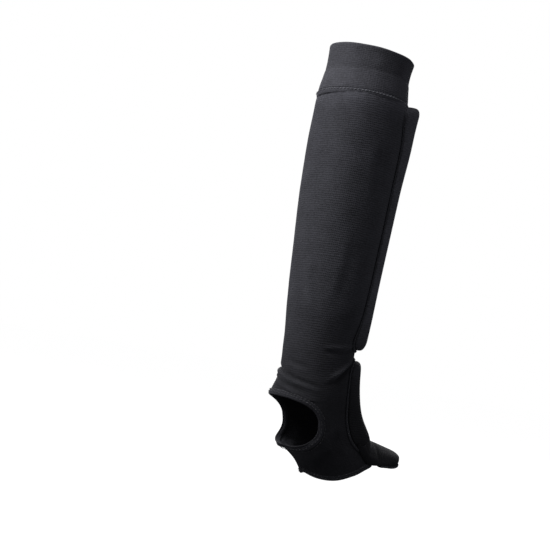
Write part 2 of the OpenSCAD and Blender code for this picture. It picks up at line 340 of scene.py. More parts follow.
# ---------------------------------------------------------------- mesh making


class MeshMaker:
    """Makes meshes in the row frame from grids and paths in millimetres."""

    @staticmethod
    def from_faces(
        name: str, points: Grid, faces: list[list[int]], cloth: Grid | None = None
    ) -> bpy.types.Object:
        """A smooth-shaded mesh object.

        Args:
            name: the piece's name.
            points: places in millimetres.
            faces: lists of point numbers.
            cloth: for each point, millimetres across and along the cloth, and how worn it is.

        Returns:
            The new object, linked to the scene.
        """
        mesh = bpy.data.meshes.new(name)
        mesh.from_pydata((np.asarray(points) * MM).tolist(), [], faces)
        mesh.validate()
        mesh.shade_smooth()
        if cloth is not None:
            MeshMaker.mark(mesh, cloth)
        piece = bpy.data.objects.new(name, mesh)
        bpy.context.scene.collection.objects.link(piece)
        return piece

    @staticmethod
    def mark(mesh: bpy.types.Mesh, cloth: Grid) -> None:
        """Stores the cloth's own measure on each point, so that patterns follow the cloth.

        Args:
            mesh: the mesh.
            cloth: for each point, millimetres across and along the cloth, and how worn it is.
        """
        kept = mesh.attributes.get("cloth_mm")
        layer = kept or mesh.attributes.new("cloth_mm", "FLOAT_VECTOR", "POINT")
        layer.data.foreach_set("vector", np.asarray(cloth, np.float32).reshape(-1))

    @staticmethod
    def places(mesh: bpy.types.Mesh) -> Grid:
        """A mesh's points.

        Args:
            mesh: the mesh.

        Returns:
            Its points in millimetres, in rows of three.
        """
        flat = np.zeros(len(mesh.vertices) * 3)
        mesh.vertices.foreach_get("co", flat)
        return flat.reshape(-1, 3) / MM

    @staticmethod
    def shell(
        name: str, outer: Grid, inner: Grid, closed: bool, cloth: Grid, present: Grid | None = None
    ) -> bpy.types.Object:
        """A sheet with thickness, between two grids of points.

        Args:
            name: the piece's name.
            outer: rows of columns of points on the outside.
            inner: the same on the inside.
            closed: whether each row closes on itself.
            cloth: the cloth's measure for each grid point.
            present: which cells exist, one row fewer than the points; all of them if None.

        Returns:
            The new object.
        """
        rows, columns = outer.shape[:2]
        cells = columns if closed else columns - 1
        if present is None:
            present = np.ones((rows - 1, cells), bool)
        total = rows * columns

        def at(j: int, i: int, layer: int) -> int:
            """Number of a grid point."""
            return layer * total + j * columns + i % columns

        def has(j: int, i: int) -> bool:
            """Whether a cell exists."""
            i = i % columns if closed else i
            return 0 <= j < rows - 1 and 0 <= i < cells and bool(present[j, i])

        faces = []
        for j, i in np.argwhere(present).tolist():
            corners = [(j, i), (j, i + 1), (j + 1, i + 1), (j + 1, i)]
            faces.append([at(*corner, 0) for corner in corners])
            faces.append([at(*corner, 1) for corner in corners[::-1]])
            for side, beyond in enumerate([(j - 1, i), (j, i + 1), (j + 1, i), (j, i - 1)]):
                if not has(*beyond):
                    start, end = corners[side], corners[(side + 1) % 4]
                    faces.append([at(*end, 0), at(*start, 0), at(*start, 1), at(*end, 1)])
        points = np.concatenate([outer.reshape(-1, 3), inner.reshape(-1, 3)])
        used = np.unique(np.concatenate([np.asarray(f) for f in faces]))
        number = np.full(len(points), -1)
        number[used] = np.arange(len(used))
        measures = np.concatenate([cloth.reshape(-1, 3), cloth.reshape(-1, 3)])[used]
        return MeshMaker.from_faces(name, points[used], [number[f].tolist() for f in faces], measures)

    @staticmethod
    def frames(path: Grid, up: Grid, closed: bool) -> tuple[Grid, Grid, Grid]:
        """Directions along a path, across it, and up from it.

        Args:
            path: points along it.
            up: roughly the directions up from it.
            closed: whether it closes on itself.

        Returns:
            (along, across, up), each of length 1.
        """
        if closed:
            run = unit(np.roll(path, -1, 0) - np.roll(path, 1, 0))
        else:
            run = unit(np.gradient(path, axis=0))
        across = unit(np.cross(run, up))
        return run, across, unit(np.cross(across, run))

    @staticmethod
    def swept(
        name: str, path: Grid, up: Grid, half_wide: Grid, half_high: Grid, sides: int,
        closed: bool = True,
    ) -> bpy.types.Object:
        """A cord or band with an oval section.

        Args:
            name: the piece's name.
            path: points along its middle.
            up: directions away from the leg along it.
            half_wide: half of its width along the surface, at each point or everywhere.
            half_high: half of its thickness.
            sides: corners of the section.
            closed: whether the path closes on itself.

        Returns:
            The new object.
        """
        _, across, rise = MeshMaker.frames(path, up, closed)
        turn = np.linspace(0, 2 * math.pi, sides, endpoint=False)
        wide = np.broadcast_to(half_wide, len(path))[:, None, None]
        high = np.broadcast_to(half_high, len(path))[:, None, None]
        ring = (
            path[:, None]
            + wide * np.cos(turn)[None, :, None] * across[:, None]
            + high * np.sin(turn)[None, :, None] * rise[:, None]
        )
        step = np.linalg.norm(np.diff(path, axis=0, append=path[:1]), axis=1)
        along = np.concatenate([[0], np.cumsum(step)[:-1]])
        around = np.cos(turn) * np.max(half_wide) * 1.5
        cloth = np.stack(np.broadcast_arrays(along[:, None], around[None, :], 0.6), axis=-1)
        n, spans = len(path), len(path) if closed else len(path) - 1
        faces = [
            [a * sides + k, b * sides + k, b * sides + (k + 1) % sides, a * sides + (k + 1) % sides]
            for a in range(spans)
            for b in [(a + 1) % n]
            for k in range(sides)
        ]
        if not closed:
            faces += [list(range(sides)), [(n - 1) * sides + k for k in reversed(range(sides))]]
        return MeshMaker.from_faces(name, ring.reshape(-1, 3), faces, cloth.reshape(-1, 3))

    @staticmethod
    def evenly(path: Grid, values: Grid, step: float, closed: bool = True) -> tuple[Grid, Grid]:
        """A path again, with points evenly apart.

        Args:
            path: points along it.
            values: what goes with each point.
            step: roughly the distance between the new points.
            closed: whether it closes on itself.

        Returns:
            (new points, values at them).
        """
        if closed:
            path, values = np.concatenate([path, path[:1]]), np.concatenate([values, values[:1]])
        along = np.concatenate([[0], np.cumsum(np.linalg.norm(np.diff(path, axis=0), axis=1))])
        at = np.linspace(0, along[-1], max(8, round(along[-1] / step)) + 1)
        if closed:
            at = at[:-1]
        return (
            np.stack([np.interp(at, along, path[:, k]) for k in range(3)], axis=1),
            np.stack([np.interp(at, along, values[:, k]) for k in range(3)], axis=1),
        )

    @staticmethod
    def joined(name: str, pieces: list[bpy.types.Object]) -> bpy.types.Object:
        """Makes one object of several.

        Args:
            name: the new piece's name.
            pieces: the objects, which are removed.

        Returns:
            The new object, with the first one's points first.
        """
        points, faces, cloth, base = [], [], [], 0
        for piece in pieces:
            mesh = piece.data
            points.append(MeshMaker.places(mesh))
            flat = np.zeros(len(mesh.vertices) * 3, np.float32)
            mesh.attributes["cloth_mm"].data.foreach_get("vector", flat)
            cloth.append(flat.reshape(-1, 3))
            faces += [[base + v for v in p.vertices] for p in mesh.polygons]
            base += len(mesh.vertices)
            bpy.data.objects.remove(piece)
            bpy.data.meshes.remove(mesh)
        return MeshMaker.from_faces(name, np.concatenate(points), faces, np.concatenate(cloth))

    @staticmethod
    def smoothed(piece: bpy.types.Object) -> None:
        """Splits a piece's faces once and rounds them."""
        piece.modifiers.new("finer", "SUBSURF").levels = 1
        MeshMaker.settle(piece)

    @staticmethod
    def settle(piece: bpy.types.Object) -> None:
        """Makes what the modifiers show into the piece's own mesh.

        Args:
            piece: the piece, which is left without modifiers.
        """
        graph = bpy.context.evaluated_depsgraph_get()
        shown = bpy.data.meshes.new_from_object(piece.evaluated_get(graph))
        old, name = piece.data, piece.data.name
        piece.modifiers.clear()
        piece.data = shown
        bpy.data.meshes.remove(old)
        shown.name = name
        shown.shade_smooth()


@dataclass(frozen=True)
class StitchRow:
    """A row of single stitches, each a short bead of thread that dips into the cloth at its ends."""

    length: float = 2.8
    between: float = 1.2
    radius: float = 0.38
    lift: float = 0.15
    sides: int = 6
    arch: tuple[float, ...] = (-0.8, 0.35, 0.6, 0.35, -0.8)
    fatness: tuple[float, ...] = (0.35, 0.9, 1.0, 0.9, 0.35)
    path_step: float = 0.25

    def lay(self, name: str, path: Grid, up: Grid) -> bpy.types.Object:
        """Sews the row along a closed path.

        Args:
            name: the piece's name.
            path: closed path on the cloth's surface.
            up: directions away from the cloth along it.

        Returns:
            One object holding every stitch.
        """
        fine, rise = MeshMaker.evenly(path, up, self.path_step)
        pitch = self.length + self.between
        count = max(3, round(len(fine) * self.path_step / pitch))
        per = len(fine) / count
        _, across, lifted = MeshMaker.frames(fine, rise, True)
        sides, rings = self.sides, len(self.arch)
        turn = np.linspace(0, 2 * math.pi, sides, endpoint=False)
        arch = np.array(self.arch) * self.radius + self.lift
        fat = np.array(self.fatness) * self.radius
        points, faces, cloth = [], [], []
        for k in range(count):
            at = (k * per + np.linspace(0, per * self.length / pitch, rings)).astype(int) % len(fine)
            middle = fine[at] + lifted[at] * arch[:, None]
            ring = middle[:, None] + fat[:, None, None] * (
                np.cos(turn)[None, :, None] * across[at][:, None]
                + np.sin(turn)[None, :, None] * lifted[at][:, None]
            )
            base = k * sides * rings
            last = base + (rings - 1) * sides
            for start in range(base, last, sides):
                for s in range(sides):
                    following = start + (s + 1) % sides
                    faces.append([start + s, start + sides + s, following + sides, following])
            faces += [[base + s for s in range(sides)], [last + s for s in reversed(range(sides))]]
            points.append(ring.reshape(-1, 3))
            along = np.repeat(np.linspace(0, self.length, rings), sides) + k * pitch
            cloth.append(np.stack([along, np.tile(turn, rings), 0 * along + 0.5], axis=1))
        return MeshMaker.from_faces(name, np.concatenate(points), faces, np.concatenate(cloth))


# ---------------------------------------------------------------- finishes

WAVE = {"operation": "SINE"}
TIMES = {"operation": "MULTIPLY"}
TIMES_PLUS = {"operation": "MULTIPLY_ADD"}
TIMES_PLUS_HELD = {"operation": "MULTIPLY_ADD", "use_clamp": True}
FULL_TURN = 2 * math.pi


def linear(colour: str) -> tuple[float, float, float, float]:
    """An sRGB hex colour as the linear numbers that shaders take."""
    shares = [int(colour[i : i + 2], 16) / 255 for i in (1, 3, 5)]
    return (*[s / 12.92 if s <= 0.04045 else ((s + 0.055) / 1.055) ** 2.4 for s in shares], 1.0)


def add_node(
    tree: bpy.types.NodeTree, kind: str, settings: dict | None = None, **sockets: object
) -> bpy.types.Node:
    """Adds one shader node.

    Args:
        tree: the material's node tree.
        kind: the node's type, without the ShaderNode prefix.
        settings: the node's properties.
        sockets: each input by its name, or by _ and its number: a value, or another node's output.

    Returns:
        The new node.
    """
    node = tree.nodes.new(f"ShaderNode{kind}")
    for key, value in (settings or {}).items():
        setattr(node, key, value)
    for key, value in sockets.items():
        socket = node.inputs[int(key[1:])] if key[0] == "_" else node.inputs[key.replace("_", " ")]
        if isinstance(value, bpy.types.NodeSocket):
            tree.links.new(value, socket)
        else:
            socket.default_value = value
    return node


@dataclass(frozen=True)
class Finish:
    """A finish: its material's name, and its darkest and palest colour."""

    name: str
    deep: str
    pale: str

    def build(self) -> bpy.types.Material:
        """Makes the material.

        Returns:
            The new material, with the finish's shader on its surface.
        """
        material = bpy.data.materials.new(self.name)
        material.use_nodes = True
        tree = material.node_tree
        tree.nodes.clear()
        output = tree.nodes.new("ShaderNodeOutputMaterial")
        tree.links.new(self.shader(tree).outputs[0], output.inputs[0])
        return material

    def shader(self, tree: bpy.types.NodeTree) -> bpy.types.Node:
        """The finish's shader, which each kind of finish makes in its own way."""
        raise NotImplementedError

    def tinted(
        self, ramp: bpy.types.Node, start: float = 0.0, end: float = 1.0
    ) -> bpy.types.NodeSocket:
        """Sets a colour ramp to run from the darkest colour to the palest.

        Args:
            ramp: the ramp.
            start: where the darkest colour stands on it.
            end: where the palest one stands.

        Returns:
            The ramp's colour.
        """
        low, high = ramp.color_ramp.elements
        low.color, low.position = linear(self.deep), start
        high.color, high.position = linear(self.pale), end
        return ramp.outputs["Color"]


@dataclass(frozen=True)
class KnitFinish(Finish):
    """Cotton and elastane, rib-knitted and coloured in the piece after knitting: matt, softly furred
    and heathered.

    To the eye it is a charcoal cloth with no gloss: faint crosswise ribs, paler flecks of cotton on
    darker elastane, cloudy patches of dye, and a grey bloom of loose fibre along its silhouette. The
    ribs of the real cloth are about 1 mm apart; they are drawn at rib_mm so that they show.
    """

    rib_mm: float = 2.4
    wale_mm: float = 2.0
    relief_mm: float = 0.35
    fleck_mm: float = 2.3
    patch_mm: float = 22.0
    waver_mm: float = 9.0
    waver_by_mm: float = 3.2
    rib_height: float = 0.6
    wale_height: float = 0.3
    fleck_height: float = 1.5
    # Painted light: how much paler the loop tops and how much darker the valleys between them are
    # drawn.
    loop_painted_light: float = 0.075
    fleck_tone: float = 1.2
    patch_tone: float = 0.48
    worn_tone: float = 0.35
    base_tone: float = -0.36
    fur: float = 0.3
    fur_colour: str = "#77777f"
    rough: float = 0.93
    # Painted shade: between these two lengths along the cloth the knit darkens to the last share of its
    # colour.
    painted_shade_from: float = 245
    painted_shade_to: float = 400
    painted_shade_share: float = 0.40

    def shader(self, tree: bpy.types.NodeTree) -> bpy.types.Node:
        """Makes the knit's shader.

        Args:
            tree: the material's node tree.

        Returns:
            The shader.
        """
        cloth = add_node(tree, "Attribute", {"attribute_name": "cloth_mm"}).outputs["Vector"]
        parts = add_node(tree, "SeparateXYZ", Vector=cloth)
        # The rows of loops waver, as they do in cloth that has been stretched.
        waver = add_node(tree, "TexNoise", Vector=cloth, Scale=1 / self.waver_mm, Detail=2.0)
        shaken = add_node(tree, "Math", TIMES_PLUS, _0=waver.outputs["Fac"], _1=self.waver_by_mm,
                          _2=parts.outputs["Y"])
        ribs = add_node(tree, "Math", TIMES, _0=shaken.outputs[0], _1=FULL_TURN / self.rib_mm)
        rib = add_node(tree, "Math", WAVE, _0=ribs.outputs[0]).outputs[0]
        # The wales lean to and fro from one row to the next.
        leaning = add_node(tree, "Math", TIMES, _0=rib, _1=1.1).outputs[0]
        wales = add_node(tree, "Math", TIMES_PLUS, _0=parts.outputs["X"],
                         _1=FULL_TURN / self.wale_mm, _2=leaning)
        wale = add_node(tree, "Math", WAVE, _0=wales.outputs[0]).outputs[0]
        fleck = add_node(tree, "TexNoise", Vector=cloth, Scale=1 / self.fleck_mm, Detail=4.0,
                         Roughness=0.7).outputs["Fac"]
        patch = add_node(tree, "TexNoise", Vector=cloth, Scale=1 / self.patch_mm, Detail=3.0,
                         Roughness=0.6).outputs["Fac"]
        raised = add_node(tree, "Math", TIMES, _0=rib, _1=self.rib_height).outputs[0]
        loops = add_node(tree, "Math", TIMES_PLUS, _0=wale, _1=self.wale_height, _2=raised).outputs[0]
        surface = add_node(tree, "Math", TIMES_PLUS, _0=fleck, _1=self.fleck_height, _2=loops)
        bump = add_node(tree, "Bump", Strength=0.55, Distance=self.relief_mm * MM,
                        Height=surface.outputs[0]).outputs["Normal"]
        # Painted highlight on the tops of the loops and painted shade in the valleys between them; the
        # yarn is also paler where it has rubbed.
        shade = add_node(tree, "Math", TIMES_PLUS, _0=loops, _1=self.loop_painted_light, _2=self.base_tone)
        shade = add_node(tree, "Math", TIMES_PLUS, _0=fleck, _1=self.fleck_tone, _2=shade.outputs[0])
        shade = add_node(tree, "Math", TIMES_PLUS, _0=patch, _1=self.patch_tone, _2=shade.outputs[0])
        shade = add_node(tree, "Math", TIMES_PLUS_HELD, _0=parts.outputs["Z"], _1=self.worn_tone,
                         _2=shade.outputs[0])
        colour = self.tinted(add_node(tree, "ValToRGB", Fac=shade.outputs[0]), 0.05, 0.95)
        # Painted shade: the knit is darkened towards the foot, where less light reaches it.
        share = add_node(tree, "MapRange", {"interpolation_type": "SMOOTHSTEP"},
                         _0=parts.outputs["Y"], _1=self.painted_shade_from, _2=self.painted_shade_to, _3=0.0, _4=1.0)
        foot_shaded_colour = add_node(tree, "Mix", {"data_type": "RGBA", "blend_type": "MULTIPLY"},
                        _0=share.outputs[0], _6=colour, _7=(*[self.painted_shade_share] * 3, 1.0)).outputs[2]
        rough = add_node(tree, "MapRange", _0=fleck, _1=0.3, _2=0.7, _3=self.rough - 0.06,
                         _4=min(1.0, self.rough + 0.05)).outputs[0]
        return add_node(
            tree, "BsdfPrincipled", Base_Color=foot_shaded_colour, Roughness=rough, Normal=bump,
            Sheen_Weight=self.fur, Sheen_Roughness=0.5, Sheen_Tint=linear(self.fur_colour),
            Specular_IOR_Level=0.2,
        )


@dataclass(frozen=True)
class ThreadFinish(Finish):
    """Polyester sewing thread, spun and twisted from plies.

    To the eye it has a low gloss that the cloth hasn't, broken up by the slant of its plies.
    """

    name: str = "polyester sewing thread"
    deep: str = "#161619"
    pale: str = "#323238"
    twist_mm: float = 0.9
    ply_mm: float = 0.1

    def shader(self, tree: bpy.types.NodeTree) -> bpy.types.Node:
        """Makes the thread's shader.

        Args:
            tree: the material's node tree.

        Returns:
            The shader.
        """
        cloth = add_node(tree, "Attribute", {"attribute_name": "cloth_mm"}).outputs["Vector"]
        parts = add_node(tree, "SeparateXYZ", Vector=cloth)
        wound = add_node(tree, "Math", TIMES_PLUS, _0=parts.outputs["X"],
                         _1=FULL_TURN / self.twist_mm, _2=parts.outputs["Y"])
        ply = add_node(tree, "Math", WAVE, _0=wound.outputs[0]).outputs[0]
        fluff = add_node(tree, "TexNoise", Vector=cloth, Scale=2.2, Detail=3.0).outputs["Fac"]
        share = add_node(tree, "Math", TIMES_PLUS_HELD, _0=ply, _1=0.3, _2=fluff).outputs[0]
        colour = self.tinted(add_node(tree, "ValToRGB", Fac=share))
        bump = add_node(tree, "Bump", Strength=0.5, Distance=self.ply_mm * MM, Height=ply)
        return add_node(tree, "BsdfPrincipled", Base_Color=colour, Roughness=0.55,
                        Normal=bump.outputs["Normal"], Sheen_Weight=0.2, Specular_IOR_Level=0.4)


@dataclass(frozen=True)
class FoamFinish(Finish):
    """Closed-cell EVA foam, cut from a sheet: a matt grey skin, dimpled by its cut cells.

    Real cells are about 0.3 mm across; they are drawn at pore_mm so that they show.
    """

    name: str = "closed-cell EVA foam"
    deep: str = "#6d7074"
    pale: str = "#93969a"
    pore_mm: float = 1.1
    patch_mm: float = 18.0
    relief_mm: float = 0.2

    def shader(self, tree: bpy.types.NodeTree) -> bpy.types.Node:
        """Makes the foam's shader.

        Args:
            tree: the material's node tree.

        Returns:
            The shader.
        """
        cloth = add_node(tree, "Attribute", {"attribute_name": "cloth_mm"}).outputs["Vector"]
        pores = add_node(tree, "TexVoronoi", Vector=cloth, Scale=1 / self.pore_mm).outputs["Distance"]
        patch = add_node(tree, "TexNoise", Vector=cloth, Scale=1 / self.patch_mm, Detail=3.0)
        share = add_node(tree, "Math", TIMES_PLUS_HELD, _0=pores, _1=0.5, _2=patch.outputs["Fac"])
        colour = self.tinted(add_node(tree, "ValToRGB", Fac=share.outputs[0]))
        bump = add_node(tree, "Bump", Strength=0.4, Distance=self.relief_mm * MM, Height=pores)
        return add_node(tree, "BsdfPrincipled", Base_Color=colour, Roughness=0.85,
                        Normal=bump.outputs["Normal"])


@dataclass(frozen=True)
class ElasticFinish(Finish):
    """Elastic tape, woven of rubber cords and undyed polyester.

    To the eye it is off-white and matt, with cords along it and the weft's fine steps across them.
    """

    name: str = "woven elastic tape"
    deep: str = "#a9a79f"
    pale: str = "#dddbd2"
    cord_mm: float = 1.6
    weft_mm: float = 0.8
    relief_mm: float = 0.2
    weft_share: float = 0.35

    def shader(self, tree: bpy.types.NodeTree) -> bpy.types.Node:
        """Makes the tape's shader.

        Args:
            tree: the material's node tree.

        Returns:
            The shader.
        """
        cloth = add_node(tree, "Attribute", {"attribute_name": "cloth_mm"}).outputs["Vector"]
        parts = add_node(tree, "SeparateXYZ", Vector=cloth)
        cords = add_node(tree, "Math", TIMES, _0=parts.outputs["Y"], _1=FULL_TURN / self.cord_mm)
        cord = add_node(tree, "Math", WAVE, _0=cords.outputs[0]).outputs[0]
        wefts = add_node(tree, "Math", TIMES, _0=parts.outputs["X"], _1=FULL_TURN / self.weft_mm)
        weft = add_node(tree, "Math", WAVE, _0=wefts.outputs[0]).outputs[0]
        both = add_node(tree, "Math", TIMES_PLUS, _0=weft, _1=self.weft_share, _2=cord).outputs[0]
        share = add_node(tree, "MapRange", _0=both, _1=-1.3, _2=1.3, _3=0.0, _4=1.0).outputs[0]
        colour = self.tinted(add_node(tree, "ValToRGB", Fac=share))
        bump = add_node(tree, "Bump", Strength=0.5, Distance=self.relief_mm * MM, Height=both)
        return add_node(tree, "BsdfPrincipled", Base_Color=colour, Roughness=0.8,
                        Normal=bump.outputs["Normal"])


@dataclass(frozen=True)
class PaperFinish(Finish):
    """Seamless studio paper, bleached and uncoated: flat white, with only the faintest shadow.

    Part of it glows, so that it stays white away from the lamps.
    """

    name: str = "studio paper"
    deep: str = "#5a5a5a"
    pale: str = "#ffffff"
    glow: float = 0.985

    def shader(self, tree: bpy.types.NodeTree) -> bpy.types.Node:
        """Makes the paper's shader.

        Args:
            tree: the material's node tree.

        Returns:
            The shader.
        """
        paper = add_node(tree, "BsdfDiffuse", Color=linear(self.deep))
        light = add_node(tree, "Emission", Color=linear(self.pale), Strength=self.glow)
        return add_node(tree, "AddShader", _0=paper.outputs[0], _1=light.outputs[0])


@dataclass(frozen=True)
class Wardrobe:
    """Every finish of the guard, made once."""

    sleeve: bpy.types.Material
    cuff: bpy.types.Material
    pad: bpy.types.Material
    hem: bpy.types.Material
    thread: bpy.types.Material
    seam_thread: bpy.types.Material
    foam: bpy.types.Material
    elastic: bpy.types.Material

    @staticmethod
    def made() -> "Wardrobe":
        """Makes the materials.

        Returns:
            All of them.
        """
        sleeve = KnitFinish("cotton elastane knit", "#19191c", "#45454b")
        cuff = KnitFinish("cotton elastane cuff rib", "#1a1a1d", "#4b4b51", rib_mm=2.1,
                          wale_mm=2.6, relief_mm=0.3)
        # Stretched over foam, the knit is smoother and less furred. Its painted shade towards the foot
        # is deeper.
        pad = KnitFinish("stretched pad knit", "#28282b", "#606067", relief_mm=0.3, fur=0.12,
                         painted_shade_share=0.14)
        # Turned and overlocked, the knit is denser and darker.
        hem = KnitFinish("overlocked knit edge", "#141416", "#35353a", rib_mm=1.7, wale_mm=1.8)
        seam_thread = ThreadFinish("polyester overlock thread", "#3a3a3f", "#6c6c74")
        finishes = (sleeve, cuff, pad, hem, ThreadFinish(), seam_thread, FoamFinish(), ElasticFinish())
        return Wardrobe(*(finish.build() for finish in finishes))


def dress(piece: bpy.types.Object, material: bpy.types.Material) -> None:
    """Gives a piece its finish.

    Args:
        piece: the piece.
        material: its finish.
    """
    piece.data.materials.clear()
    piece.data.materials.append(material)


def fasten(
    piece: bpy.types.Object, material: bpy.types.Material, slot: str, body: Body,
    *nodes: str, fill: float | None = None,
) -> None:
    """Dresses a piece, hides the CAD nodes that it replaces, and rides it on a body.

    Args:
        piece: the piece.
        material: its finish.
        slot: a name for what it is made of; not used.
        body: the body that carries it.
        nodes: the CAD nodes that it replaces.
        fill: for a padded piece, how full it is; not used.
    """
    dress(piece, material)
    if nodes:
        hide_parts(*nodes)
    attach(piece, body.value)
    LOG.info("%s: %d faces, on %s", piece.name, len(piece.data.polygons), body.value)


# ---------------------------------------------------------------- padded pieces


@dataclass(frozen=True)
class Inflation:
    """How a padded piece is puffed up by cloth simulation."""

    pressure: float = 4.0
    frames: int = 20
    cap: float = 5.0
    mass: float = 0.3
    bending: float = 2.0

    def run(self, piece: bpy.types.Object, held: Callable[[Grid], Grid]) -> None:
        """Puffs the piece up in place.

        Args:
            piece: a closed form, a little thinner than it will be.
            held: given points in millimetres, says which ones don't move.
        """
        before = MeshMaker.places(piece.data)
        pins = piece.vertex_groups.new(name="held")
        pins.add(np.flatnonzero(held(before)).tolist(), 1.0, "REPLACE")
        cloth = piece.modifiers.new("cloth", "CLOTH")
        cloth.settings.use_pressure = True
        cloth.settings.uniform_pressure_force = self.pressure
        cloth.settings.vertex_group_mass = pins.name
        cloth.settings.effector_weights.gravity = 0
        cloth.settings.quality = 4
        cloth.settings.mass = self.mass
        cloth.settings.bending_stiffness = self.bending
        cloth.point_cache.frame_start, cloth.point_cache.frame_end = 1, self.frames
        scene = bpy.context.scene
        for number in range(1, self.frames + 1):
            scene.frame_set(number)
        MeshMaker.settle(piece)
        scene.frame_set(1)
        piece.vertex_groups.clear()
        move = MeshMaker.places(piece.data) - before
        far = np.linalg.norm(move, axis=1, keepdims=True)
        after = before + move * np.minimum(1, self.cap / np.maximum(far, 1e-9))
        piece.data.vertices.foreach_set("co", (after * MM).reshape(-1))
        piece.data.update()


def pad_marks(half: float, corner: float, inner: int) -> Grid:
    """Distances from a pad's middle to its rows or columns, closer together near its edges."""
    ends = half - corner * (1 - np.cos(np.radians([0, 20, 40, 60, 75, 90])))
    return np.concatenate([-ends, np.linspace(-ends[-1], ends[-1], inner + 2)[1:-1], ends[::-1]])


def rounded(past: Grid) -> Grid:
    """How far a round corner falls away, from 0 at its start to 1 at its end."""
    return 1 - np.sqrt(1 - past**2)


@dataclass(frozen=True)
class FoamPad:
    """A foam slab sewn under a cloth cover onto the sleeve.

    Its height falls to edge_share over side_rim at the sides, to end_share over end_rim at its upper
    end, and to tail_share over tail_rim at its lower end. It is narrower by waist at its middle, and
    stands off the leg by stand at its upper end, over stand_long. Its lower corners reach drop
    further down.
    """

    name: str
    body: Body
    top: float
    bottom: float
    half_top: float
    half_bottom: float
    drop: float = 0
    corner: float = 14
    foam: float = 8.5
    cover: float = 1.2
    lift: float = 2.2
    side_rim: float = 17
    end_rim: float = 5
    edge_share: float = 0.12
    end_share: float = 0.62
    tail_rim: float = 5
    tail_share: float = 0.62
    waist: float = 0.0
    stand: float = 0.0
    stand_long: float = 34
    foam_inset: float = 0.6
    cover_grown: float = 1.2
    seam_grown: float = 2.4
    stitches_grown: float = 2.8
    rubbed: Ripple = Ripple(0.25, 30, 3.0)

    @property
    def long(self) -> float:
        """Half of the pad's length."""
        return (self.bottom - self.top) / 2

    def wide(self, y: Grid) -> Grid:
        """Half of the pad's width, y below its middle."""
        tapered = self.half_top + (self.half_bottom - self.half_top) * (1 + y / self.long) / 2
        return tapered - self.waist * (1 - clamp(np.abs(y) / self.long) ** 4)

    def place(self, share: Grid, y: Grid, grown: float) -> tuple[Grid, Grid]:
        """Angle and depth of a place on the pad.

        Args:
            share: share of the way from the middle to the side, from -1 to 1.
            y: distance below the middle.
            grown: how far the outline is grown.

        Returns:
            (angle, depth).
        """
        share, y = np.broadcast_arrays(np.asarray(share, float), np.asarray(y, float))
        wide = self.wide(y)
        past = clamp((np.abs(y) - self.long + self.corner) / self.corner)
        reach = (wide + grown) * (1 - self.corner / wide * rounded(past))
        down = (1 + y / self.long) / 2
        depth = (self.top + self.bottom) / 2 + y * (1 + grown / self.long)
        depth = depth + self.drop * down * share**2
        return np.degrees(reach * share / LEG.half_width(depth)), depth

    def grid(self, grown: float, low: float, thick: float) -> Grid:
        """Points over the pad.

        Args:
            grown: how far the outline is grown.
            low: height at the rim's foot.
            thick: thickness at the middle.

        Returns:
            Rows of columns of points, in millimetres.
        """
        shares = pad_marks(1, self.side_rim / self.half_top, 15)[None, :]
        y = pad_marks(self.long, self.corner, round(self.long / 3.5))[:, None]
        angle, depth = self.place(shares, y, grown)
        side = clamp(self.wide(y) * (1 - np.abs(shares)) / self.side_rim)
        end = clamp((self.long - np.abs(y)) / np.where(y > 0, self.tail_rim, self.end_rim))
        least = np.where(y > 0, self.tail_share, self.end_share)
        rise = self.edge_share + (1 - self.edge_share) * np.sin(side * math.pi / 2) ** 0.85
        rise = rise * (1 - (1 - least) * rounded(1 - end))
        stand = self.stand * clamp(1 - (self.long + y) / self.stand_long) ** 2
        height = low + thick * rise + stand * clamp(thick / self.foam) * rise
        return LEG.above(angle, depth, height)

    def outline(self, grown: float, height: float, step: float = 2.0) -> tuple[Grid, Grid]:
        """A closed path round the pad.

        Args:
            grown: how far it lies outside the pad.
            height: its height over the skin.
            step: roughly the distance between its points.

        Returns:
            (points, directions away from the leg at them).
        """
        y = pad_marks(self.long, self.corner, round(self.long / 3))
        across, down = np.linspace(-1, 1, 31), y[1:-1]
        share = np.concatenate([across, 0 * down + 1, across[::-1], 0 * down - 1])
        beyond = np.concatenate([0 * across - self.long, down, 0 * across + self.long, down[::-1]])
        angle, depth = self.place(share, beyond, grown)
        return MeshMaker.evenly(LEG.above(angle, depth, height), LEG.outward(angle, depth), step)

    def build(self, finishes: Wardrobe, puff: Inflation) -> None:
        """Makes the foam, its cover, the seam round it and the seam's stitches.

        Args:
            finishes: the materials.
            puff: how the cover is puffed up.
        """
        slab = self.grid(-self.foam_inset, self.lift + 0.3, self.foam - 0.8)
        base = self.grid(-self.foam_inset, self.lift + 0.2, 0)
        foam = MeshMaker.shell(f"{self.name}_foam_slab", slab, base, False, LEG.place_of(slab))
        fasten(foam, finishes.foam, "pad_foam", self.body, f"{self.name}_foam", fill=1.0)

        # The cover starts a little thin, as it swells.
        skin = self.grid(self.cover_grown, self.lift + 0.6, self.foam + self.cover - 0.6)
        under = self.grid(self.cover_grown, self.lift + 0.1, 0)
        cover = MeshMaker.shell(f"{self.name}_pad", skin, under, False, LEG.place_of(skin))
        puff.run(cover, self.held)
        MeshMaker.smoothed(cover)
        points = MeshMaker.places(cover.data)
        cloth = LEG.place_of(points)
        cloth[:, 2] = np.maximum(0, self.rubbed.at(points))
        MeshMaker.mark(cover.data, cloth)
        fasten(cover, finishes.pad, "pad_cloth", self.body, f"{self.name}_pad_cover", fill=0.85)

        path, up = self.outline(self.seam_grown, self.lift + 0.1)
        seam = MeshMaker.swept(f"{self.name}_pad_seam", path, up, 1.9, 0.65, 10)
        fasten(seam, finishes.hem, "seam_knit", self.body)
        path, up = self.outline(self.stitches_grown, self.lift + 0.6, 1.0)
        sewn = StitchRow().lay(f"{self.name}_pad_stitches", path, up)
        fasten(sewn, finishes.thread, "sewing_thread", self.body, f"{self.name}_pad_stitching")

